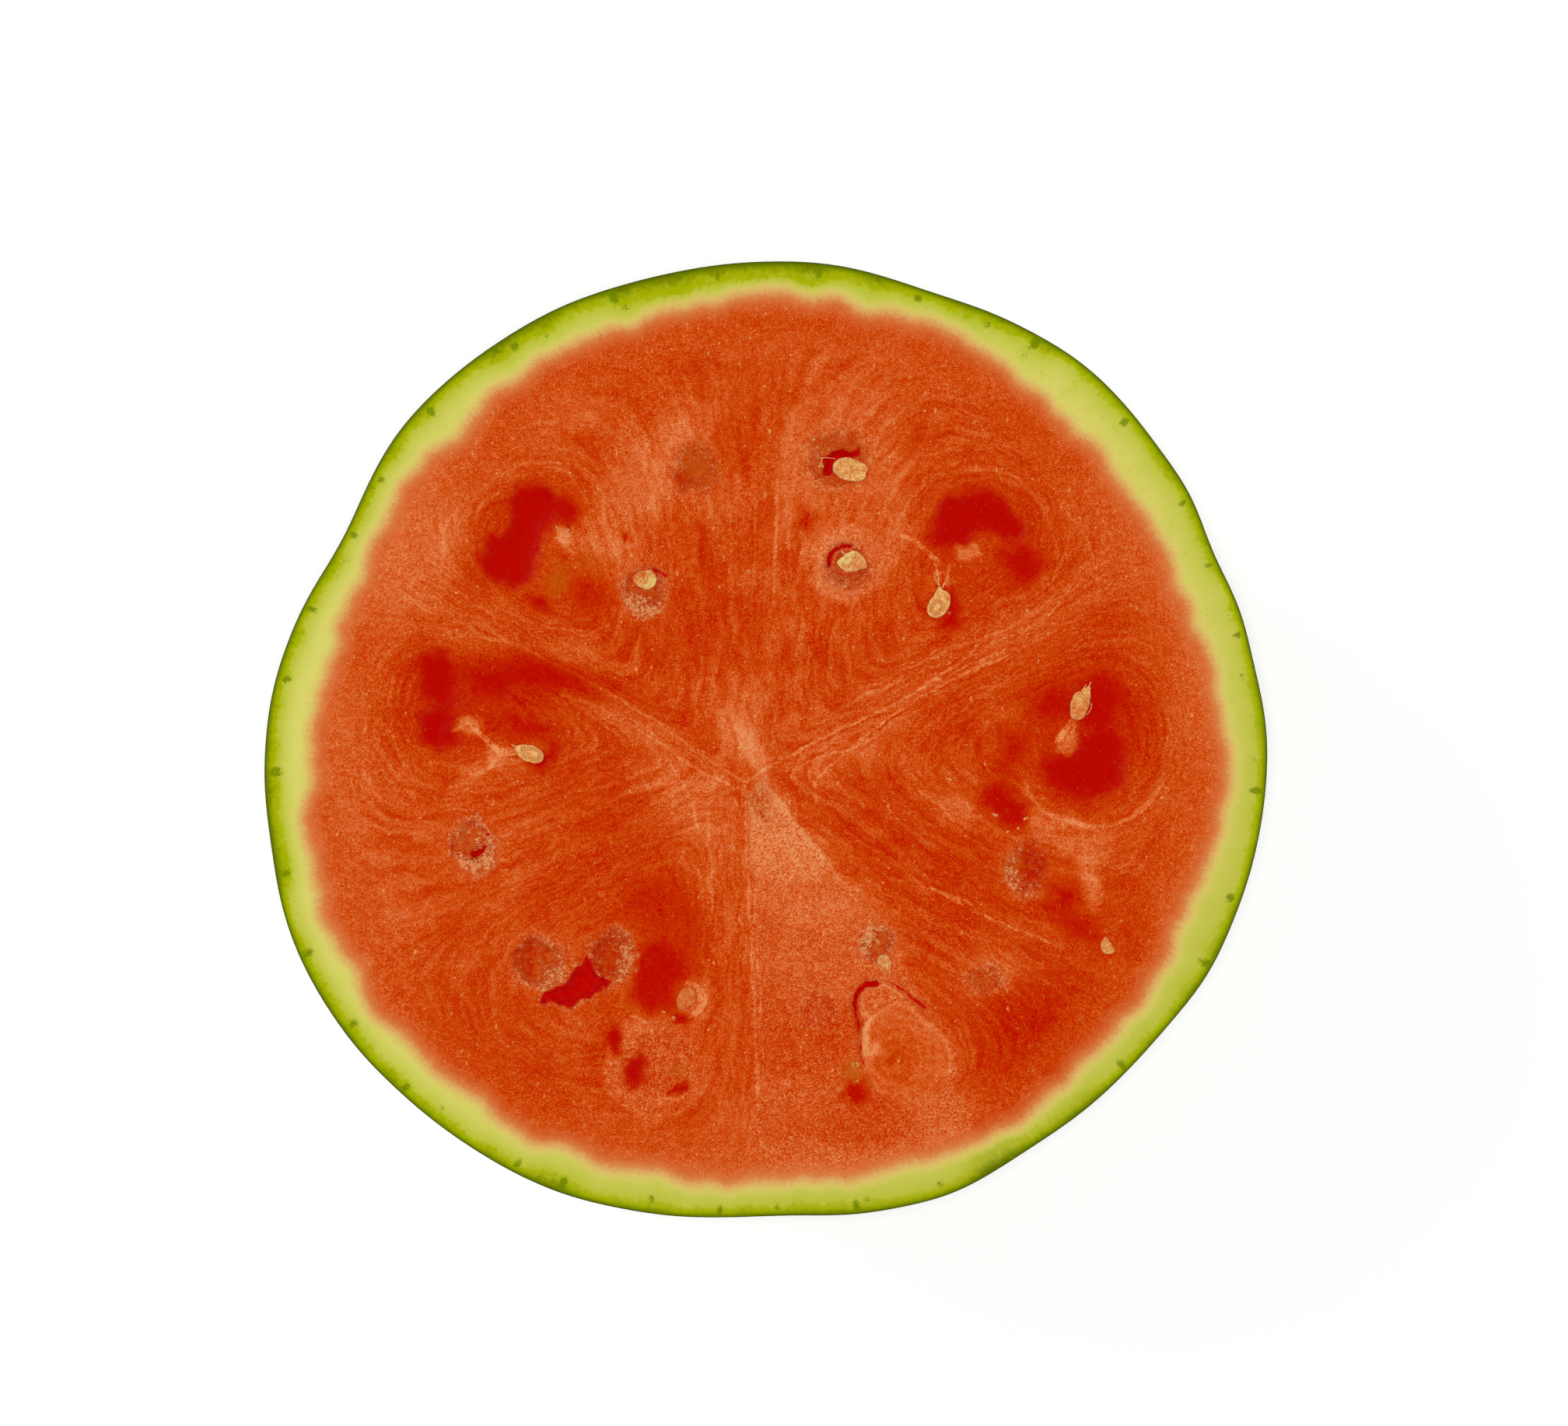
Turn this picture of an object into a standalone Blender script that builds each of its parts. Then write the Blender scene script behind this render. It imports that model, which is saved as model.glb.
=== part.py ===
"""Half of a small round watermelon, cut straight across, standing on its rind with the cut face up.

The rind and the flesh grew as one piece and are one solid. The loose seeds in the cut face are pieces of
their own, each lying in a socket of its own shape. Metres, +Z up; the origin is the middle of the small
flat spot that the half rests on, under the middle of its box.
"""

import math

import bmesh
import bpy
from mathutils import Matrix, Vector

# The cut half
FACE_WIDTH = 0.2050  # cut face, along X
FACE_DEPTH = 0.1955  # cut face, along Y
CUT_ABOVE_BELLY = 0.012  # from the fruit's widest level up to the cut
BELLY_HEIGHT = 0.092  # from the table up to the fruit's widest level
REST_SPOT_RADIUS = 0.019  # flat spot under the half
BASE_ROUNDNESS = 0.75  # share of the cut outline's lumps that is gone at the base
SIDE_STEPS = 72  # facets round the rind
RING_COUNT = 14  # rings of facets from the cut down to the base

# Seeds
SEED_THICKNESS = 0.0022
SEED_PROUD = 0.0006  # how far a seed stands above the cut face
SEED_CLEARANCE = 0.0003  # all round a seed, in its socket
SEED_TAPER = 0.30  # how much narrower the end by the stalk is than the round end

# The cut face's outline, as points (x, y) of its own shape in millimetres, from the top middle clockwise.
# The whole is then sized to FACE_WIDTH and FACE_DEPTH.
OUTLINE = (
    (8, 97.8), (19, 96.2), (34, 91.6), (47, 87), (58, 81.4), (67, 75), (76, 65.4), (86.7, 50),
    (91.2, 39), (97, 26), (99.3, 17.5), (101.4, 8), (102.5, -2), (101.6, -15), (98.5, -29),
    (91, -47), (81.5, -59.6), (67.6, -74), (54, -83.9), (38, -93.1), (20, -97.2), (5, -97.7),
    (-20, -97.7), (-42, -93.1), (-58, -85.3), (-73.2, -74.1), (-86.8, -59.6), (-97.4, -40.2),
    (-102.2, -16), (-102.7, -3), (-100.7, 11.5), (-95.2, 26.5), (-87.4, 40), (-76.6, 61.2),
    (-64.3, 74.4), (-46.2, 86.6), (-31.2, 92.6), (-10, 97.2),
)

# Seeds in the cut face: centre as shares of half the face's width and depth, length and width in metres,
# and the way that the stalk end points, in degrees from +X.
SEEDS = {
    "seed_1_upper": (0.169, 0.564, 0.0074, 0.0051, -15),
    "seed_2_upper": (0.172, 0.374, 0.0060, 0.0044, 5),
    "seed_3_upper_right": (0.344, 0.286, 0.0070, 0.0046, 79),
    "seed_4_right": (0.627, 0.072, 0.0076, 0.0042, 72),
    "seed_5_lower_right": (0.683, -0.431, 0.0040, 0.0030, 100),
    "seed_6_lower": (0.231, -0.473, 0.0042, 0.0032, 60),
    "seed_7_lower_left": (-0.154, -0.537, 0.0064, 0.0044, 40),
    "seed_8_left": (-0.470, -0.029, 0.0058, 0.0039, 165),
    "seed_9_upper_left": (-0.244, 0.337, 0.0056, 0.0042, 160),
}

# Hollows in the flesh, as shallow dishes: centre as shares of half the face's width and depth, length,
# width and depth in metres, and the turn of the length from +X in degrees.
HOLLOWS = {
    "upper_left_lobe": (-0.490, 0.437, 0.028, 0.014, 0.0022, 56),
    "upper_right_lobe": (0.422, 0.455, 0.019, 0.011, 0.0020, -8),
    "upper_right_lobe_foot": (0.505, 0.366, 0.010, 0.008, 0.0014, 0),
    "left_lobe": (-0.655, 0.076, 0.020, 0.009, 0.0018, 92),
    "left_lobe_arm": (-0.512, 0.130, 0.015, 0.006, 0.0012, 4),
    "right_lobe": (0.618, -0.062, 0.015, 0.011, 0.0020, 10),
    "right_small_hollow": (0.476, -0.129, 0.009, 0.008, 0.0012, 0),
    "right_pit": (0.537, -0.262, 0.010, 0.009, 0.0018, 0),
    "left_pit": (-0.579, -0.222, 0.010, 0.010, 0.0018, 0),
    "lower_left_pit_1": (-0.444, -0.462, 0.010, 0.010, 0.0020, 0),
    "lower_left_pit_2": (-0.308, -0.447, 0.009, 0.009, 0.0020, 0),
    "lower_left_split": (-0.380, -0.508, 0.013, 0.006, 0.0030, 28),
    "lower_left_lobe": (-0.214, -0.487, 0.010, 0.008, 0.0012, 0),
    "lower_left_spot_1": (-0.304, -0.634, 0.006, 0.006, 0.0012, 0),
    "lower_left_spot_2": (-0.265, -0.692, 0.006, 0.005, 0.0012, 20),
    "seed_1_hollow": (0.150, 0.590, 0.011, 0.008, 0.0022, -20),
    "seed_2_hollow": (0.163, 0.372, 0.011, 0.010, 0.0022, 0),
    "seed_6_hollow": (0.219, -0.427, 0.010, 0.010, 0.0016, 0),
    "seed_9_hollow": (-0.239, 0.303, 0.007, 0.006, 0.0014, 0),
    "tear_left": (0.184, -0.552, 0.012, 0.0022, 0.0032, 99),
    "tear_top": (0.283, -0.535, 0.010, 0.0020, 0.0026, -37),
}

RIND_GREEN = (0.16, 0.27, 0.04)
SEED_CREAM = (0.72, 0.45, 0.13)


def clear_scene():
    for old in list(bpy.data.objects):
        bpy.data.objects.remove(old, do_unlink=True)


def material(name, colour, roughness):
    made = bpy.data.materials.new(name)
    made.use_nodes = True
    shader = made.node_tree.nodes["Principled BSDF"]
    shader.inputs["Base Color"].default_value = (*colour, 1.0)
    shader.inputs["Roughness"].default_value = roughness
    shader.inputs["Metallic"].default_value = 0.0
    return made


def new_object(name, bm, finish=None):
    mesh = bpy.data.meshes.new(name)
    bmesh.ops.recalc_face_normals(bm, faces=bm.faces)
    bm.to_mesh(mesh)
    bm.free()
    mesh.shade_smooth()
    made = bpy.data.objects.new(name, mesh)
    bpy.context.scene.collection.objects.link(made)
    if finish:
        mesh.materials.append(finish)
    return made


def curve_through(points, steps):
    """A smooth closed curve through the points, with this many steps between two of them."""
    curve = []
    for i, start in enumerate(points):
        before, end, after = points[i - 1], points[(i + 1) % len(points)], points[(i + 2) % len(points)]
        knots = [0.0]
        for a, b in ((before, start), (start, end), (end, after)):
            knots.append(knots[-1] + math.sqrt((b - a).length))
        k0, k1, k2, k3 = knots
        for step in range(steps):
            t = k1 + (k2 - k1) * step / steps
            a1 = before.lerp(start, (t - k0) / (k1 - k0))
            a2 = start.lerp(end, (t - k1) / (k2 - k1))
            a3 = end.lerp(after, (t - k2) / (k3 - k2))
            b1 = a1.lerp(a2, (t - k0) / (k2 - k0))
            b2 = a2.lerp(a3, (t - k1) / (k3 - k1))
            curve.append(b1.lerp(b2, (t - k1) / (k2 - k1)))
    return curve


def face_outline():
    """The cut face's outline in metres, centred and sized to FACE_WIDTH by FACE_DEPTH."""
    curve = curve_through([Vector(point) for point in OUTLINE], 12)
    low = Vector((min(p.x for p in curve), min(p.y for p in curve)))
    high = Vector((max(p.x for p in curve), max(p.y for p in curve)))
    middle, span = (low + high) / 2, high - low
    return [
        Vector(((p.x - middle.x) * FACE_WIDTH / span.x, (p.y - middle.y) * FACE_DEPTH / span.y))
        for p in curve
    ]


def outline_radius(curve, angle):
    """How far the outline lies from the middle of the face, at an angle in radians."""
    way = Vector((math.cos(angle), math.sin(angle)))
    for a, b in zip(curve, curve[1:] + curve[:1]):
        edge = b - a
        turn = way.x * edge.y - way.y * edge.x
        if abs(turn) < 1e-12:
            continue
        along = (a.x * edge.y - a.y * edge.x) / turn
        share = (a.x * way.y - a.y * way.x) / turn
        if along > 0 and 0 <= share <= 1:
            return along
    raise ValueError("the outline doesn't go round the middle of the face")


def half_melon():
    """Rings of the outline, from the cut out to the belly and down to the flat spot."""
    curve = face_outline()
    angles = [2 * math.pi * i / SIDE_STEPS for i in range(SIDE_STEPS)]
    lumpy = [outline_radius(curve, angle) for angle in angles]
    round_radius = sum(lumpy) / SIDE_STEPS
    spot_share = REST_SPOT_RADIUS / round_radius
    pole = BELLY_HEIGHT / math.sqrt(1 - spot_share**2)
    top_turn = -math.asin(CUT_ABOVE_BELLY / pole)
    base_turn = math.acos(spot_share)
    bm = bmesh.new()
    bmesh.ops.create_circle(bm, cap_ends=True, segments=SIDE_STEPS, radius=1.0)
    face = bm.faces[:][0]
    for ring in range(RING_COUNT + 1):
        share = ring / RING_COUNT
        turn = top_turn + (base_turn - top_turn) * share
        size = math.cos(turn) / math.cos(top_turn)
        evened = BASE_ROUNDNESS * share**2
        if ring:
            last, made = face, bmesh.ops.extrude_face_region(bm, geom=[face])
            face = next(g for g in made["geom"] if isinstance(g, bmesh.types.BMFace))
            if ring > 1:
                bmesh.ops.delete(bm, geom=[last], context="FACES_ONLY")
        for vert in face.verts:
            angle = math.atan2(vert.co.y, vert.co.x)
            step = round(angle / (2 * math.pi) * SIDE_STEPS) % SIDE_STEPS
            radius = size * (lumpy[step] + (round_radius - lumpy[step]) * evened)
            height = BELLY_HEIGHT - pole * math.sin(turn)
            vert.co = (radius * math.cos(angles[step]), radius * math.sin(angles[step]), height)
    return new_object("watermelon_half", bm, material("rind", RIND_GREEN, 0.45))


def face_height():
    return BELLY_HEIGHT + CUT_ABOVE_BELLY


def on_face(x_share, y_share, depth=0.0):
    return Vector((x_share * FACE_WIDTH / 2, y_share * FACE_DEPTH / 2, face_height() - depth))


def seed_mesh(length, width, grow=0.0):
    """A flat drop shape with its narrow stalk end at +X, grown by this much all round."""
    bm = bmesh.new()
    bmesh.ops.create_uvsphere(bm, u_segments=16, v_segments=8, radius=1.0)
    bmesh.ops.rotate(bm, verts=bm.verts, matrix=Matrix.Rotation(math.pi / 2, 3, "Y"))
    for vert in bm.verts:
        narrow = 1 - SEED_TAPER * (vert.co.x + 1) / 2
        vert.co = (
            vert.co.x * (length / 2 + grow),
            vert.co.y * narrow * (width / 2 + grow),
            vert.co.z * (SEED_THICKNESS / 2 + grow),
        )
    return bm


def dish_mesh(length, width, depth):
    bm = bmesh.new()
    bmesh.ops.create_uvsphere(bm, u_segments=16, v_segments=6, radius=1.0)
    bmesh.ops.scale(bm, verts=bm.verts, vec=(length / 2, width / 2, depth))
    return bm


def place(piece, spot, turn_degrees):
    piece.location = spot
    piece.rotation_euler = (0, 0, math.radians(turn_degrees))


def cut(body, cutter):
    cutter.hide_render = True
    cutter.display_type = "WIRE"
    step = body.modifiers.new(cutter.name, "BOOLEAN")
    step.operation = "DIFFERENCE"
    step.object = cutter


def build():
    clear_scene()
    melon = half_melon()
    seed_finish = material("seed", SEED_CREAM, 0.4)
    for name, (x_share, y_share, length, width, depth, turn) in HOLLOWS.items():
        dish = new_object(name + "_cutter", dish_mesh(length, width, depth))
        place(dish, on_face(x_share, y_share), turn)
        cut(melon, dish)
    for name, (x_share, y_share, length, width, turn) in SEEDS.items():
        spot = on_face(x_share, y_share, SEED_THICKNESS / 2 - SEED_PROUD)
        place(new_object(name, seed_mesh(length, width), seed_finish), spot, turn)
        socket = new_object(name + "_socket", seed_mesh(length, width, SEED_CLEARANCE))
        place(socket, spot, turn)
        cut(melon, socket)


build()
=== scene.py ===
"""The looks of a cut watermelon half: wet red flesh in a green rind, striped skin below, and its seeds."""

import math
from collections import namedtuple

import bmesh
import bpy
import numpy as np
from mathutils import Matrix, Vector, noise


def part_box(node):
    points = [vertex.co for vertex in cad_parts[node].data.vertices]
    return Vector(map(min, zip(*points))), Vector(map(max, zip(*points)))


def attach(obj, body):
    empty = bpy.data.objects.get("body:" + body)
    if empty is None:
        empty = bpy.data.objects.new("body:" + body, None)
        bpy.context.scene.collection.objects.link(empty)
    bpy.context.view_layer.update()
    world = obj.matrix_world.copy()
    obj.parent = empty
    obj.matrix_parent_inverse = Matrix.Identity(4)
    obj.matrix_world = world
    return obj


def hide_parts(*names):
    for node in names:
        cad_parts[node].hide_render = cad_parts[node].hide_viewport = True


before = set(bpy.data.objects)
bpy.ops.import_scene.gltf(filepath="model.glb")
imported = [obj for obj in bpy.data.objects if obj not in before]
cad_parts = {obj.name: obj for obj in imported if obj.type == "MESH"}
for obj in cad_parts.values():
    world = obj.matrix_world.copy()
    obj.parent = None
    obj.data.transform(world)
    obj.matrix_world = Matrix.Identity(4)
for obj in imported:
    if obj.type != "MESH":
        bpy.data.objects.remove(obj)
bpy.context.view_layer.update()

TURN = 2 * math.pi
MM = 0.001
VIEW_WIDTH = 320.5 * MM  # what the camera takes in at the height of the cut
VIEW_CENTRE = (3.7 * MM, 5.4 * MM)
STUDIO = 1.24  # how much brighter than its own colour a level white surface is lit

MELON = "watermelon_half"
FACE_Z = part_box(MELON)[1].z  # the plane of the cut
RIND_FACETS = 72  # even steps round the CAD rind
OUTLINE_STEPS = 4320  # even angles at which the outline of the cut is worked out
FACE_RINGS = 180  # rings of triangles from the middle of the cut face out to the skin
SKIN_STEPS = 540  # faces round the skin
SKIN_RINGS = 84  # faces from the cut down to the base
# The cut face's hidden rings and the skin's inner ones: share of the outline and how far below the cut.
UNDERSIDE = ((0.9985, 0.6 * MM), (0.93, 9 * MM))
SKIN_INNER = ((0.985, 14 * MM), (0.9975, 0.8 * MM), (0.9985, 0.16 * MM))
SKIN_LIP = 0.12 * MM  # how far below the cut the skin's edge stays
STRIPES = 11
SEED_THICKNESS = 2.2
HIGHEST = 0.2  # millimetres above the cut, past which its relief is pressed flat
MM_PER_DEGREE = 1.75  # along the skin
LINE_REACH = 6  # millimetres round a line within which distances to it are worked out
FAR_OFF = 1e9  # the distance given past that

HEART = (-4.3, -8.9)  # where the three seams of the fruit meet, in millimetres on the cut face

# Round the fruit: the angle from +X in degrees, then how many millimetres below the skin the flesh starts,
# and how deep the green layer goes.
RIND = (
    (0, 8.2, 1.6), (5, 8.7, 1.7), (10, 8.3, 1.6), (15, 9.9, 1.5), (20, 9.4, 1.7), (25, 8.3, 1.6),
    (30, 10, 1.8), (38, 10.6, 1.7), (41, 9.6, 2), (45, 11, 1.8), (52, 10.4, 1.7), (56, 9.6, 2.4),
    (60, 8, 2.1), (65, 6.5, 2.6), (70, 6.3, 2.3), (78, 7.2, 2.6), (82, 6.8, 3.2), (86, 6.8, 4.2),
    (90, 6, 3.6), (97, 7.2, 3.4), (102, 6.8, 4.6), (108, 8.2, 3.4), (113, 7.6, 2.2), (120, 7.6, 3.2),
    (125, 7.6, 2.8), (130, 8.2, 2), (135, 9.8, 2.4), (140, 7.9, 2.2), (148, 5.9, 1.6), (153, 6.2, 1.6),
    (160, 7.4, 1.7), (165, 8.7, 1.9), (173, 10, 1.8), (180, 9, 1.9), (184, 9.7, 2.4), (190, 7.2, 2.6),
    (195, 7.4, 2.9), (199, 8.3, 1.7), (203, 6.9, 1.8), (209, 8.8, 1.8), (215, 6.7, 2.2), (219, 8.2, 1.7),
    (225, 7.3, 1.7), (232, 8.8, 1.7), (237, 7.1, 1.8), (246, 8.6, 2.8), (252, 7.4, 1.8), (256, 8.7, 2.4),
    (265, 6.3, 1.7), (275, 7.4, 2.2), (281, 7.1, 2.4), (288, 8.4, 1.9), (294, 7.8, 2.2), (298, 6, 4.6),
    (306, 6.2, 2.4), (311, 6.3, 2.6), (315, 7.6, 2), (320, 6.9, 2), (325, 7.2, 1.8), (330, 8.1, 2.6),
    (336, 9.8, 2.2), (343, 9.2, 1.8), (350, 7.8, 1.5), (356, 7.5, 2),
)

# How pale the flesh is next to the rind: angle in degrees, strength.
PALE_EDGE = (
    (0, 0.7), (20, 0.8), (45, 0.7), (58, 0.3), (72, 0.6), (95, 0.7), (105, 0.4), (120, 0.6), (150, 1),
    (200, 1), (218, 0.7), (235, 0.3), (250, 0.7), (270, 0.9), (292, 1), (299, 0.1), (326, 0.1), (335, 0.7),
    (350, 0.6),
)

# Vessels cut across in the rind: angle in degrees, depth, half width, half height, strength.
VESSELS = (
    (7.5, 3.1, 0.9, 0.5, 0.5), (12.5, 1.9, 0.5, 1, 0.8), (21.5, 2, 0.5, 0.8, 0.7),
    (29.6, 2.2, 0.4, 0.9, 0.9), (41.5, 2.4, 0.7, 0.8, 0.9), (46, 2.6, 0.3, 0.5, 0.5),
    (55.8, 1.6, 0.8, 1.6, 1), (56.2, 4.2, 0.8, 1.4, 0.4), (62, 2.6, 0.7, 0.9, 0.6),
    (64.5, 2.8, 0.6, 0.8, 0.5), (71, 2.2, 0.8, 0.7, 0.9), (76, 2.6, 0.6, 0.4, 0.4),
    (83.5, 1.8, 0.7, 1.4, 0.8), (85.6, 4.6, 0.9, 1.4, 0.4), (96, 2, 0.4, 1, 0.8),
    (100.6, 1.1, 0.7, 0.5, 0.7), (109, 1.8, 0.8, 1.4, 0.9), (108, 4.4, 0.9, 0.7, 0.5),
    (118.4, 3.8, 0.6, 0.9, 0.4), (122.6, 2.6, 0.8, 0.9, 0.8), (123.6, 4.4, 0.6, 0.8, 0.3),
    (135.6, 2.2, 0.7, 1.1, 0.9), (146, 2.1, 0.7, 0.6, 0.7), (147.4, 0.9, 0.4, 0.5, 0.6),
    (153.6, 1.8, 0.6, 0.8, 0.8), (157, 2.9, 1, 0.5, 0.5), (164, 1.7, 0.4, 1.1, 1),
    (172.8, 2.5, 0.6, 1.1, 0.9), (183.8, 2.3, 0.8, 1.4, 0.9), (195.6, 2.3, 0.6, 1, 0.8),
    (205, 1.7, 0.6, 1.5, 0.8), (214.6, 2.5, 0.7, 1, 0.8), (218, 2.7, 0.4, 0.5, 0.4),
    (224, 1.4, 0.5, 1.2, 0.9), (228.7, 3, 0.6, 0.6, 0.4), (239.6, 2.1, 0.5, 1.1, 0.8),
    (245.4, 1.9, 0.6, 1.3, 1), (256, 2.9, 0.6, 0.8, 0.7), (261.6, 1.8, 0.3, 0.7, 0.4),
    (264.4, 1.4, 0.4, 1.3, 0.9), (271.4, 1.9, 0.4, 0.9, 0.6), (281, 1.6, 0.5, 1.3, 0.9),
    (282.4, 2.8, 0.4, 0.6, 0.6), (291.4, 2.6, 0.9, 0.6, 0.7), (300.6, 0.8, 0.7, 0.7, 0.6),
    (305, 0.9, 0.4, 0.8, 0.5), (312, 2.7, 0.9, 0.8, 0.3), (317.6, 1.7, 0.6, 1.4, 0.8),
    (326.4, 1.6, 0.5, 0.9, 0.4), (333, 1.5, 0.6, 1.6, 0.9), (341.2, 2.3, 0.7, 0.7, 1),
    (354, 1.7, 0.6, 1.5, 0.9), (357.6, 2.9, 1, 0.6, 0.5),
)

# The flesh grew as six lobes round the heart. Each row is a lobe's core (x, y) in millimetres and the
# angle of the seam on its clockwise side, from +X in degrees.
LOBES = (
    (64.4, 0.8, -31), (43.4, 38.5, 28), (-48.3, 38.5, 90), (-61.4, 6.4, 148.6), (-33.5, -46.1, 202.4),
    (28, -64.4, 270),
)

# Tones of the flesh run from 0, the deepest red, over BASE_TONE to 1, the palest salmon.
BASE_TONE = 0.46
EDGE_TONE = 0.70  # next to the rind
DULL_TONE = 0.58  # the duller flesh below the heart
WEDGE_TONE = 0.80  # the torn wedge
SLAB_TONE, DISH_TONE, CHIP_TONE = 0.59, 0.22, 0.60
CAVITY_AND_SHADOW_TONE = 0.10
MOAT_SHADE_TONE = 0.14  # painted shade in the open gap round the loose seeds
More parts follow.
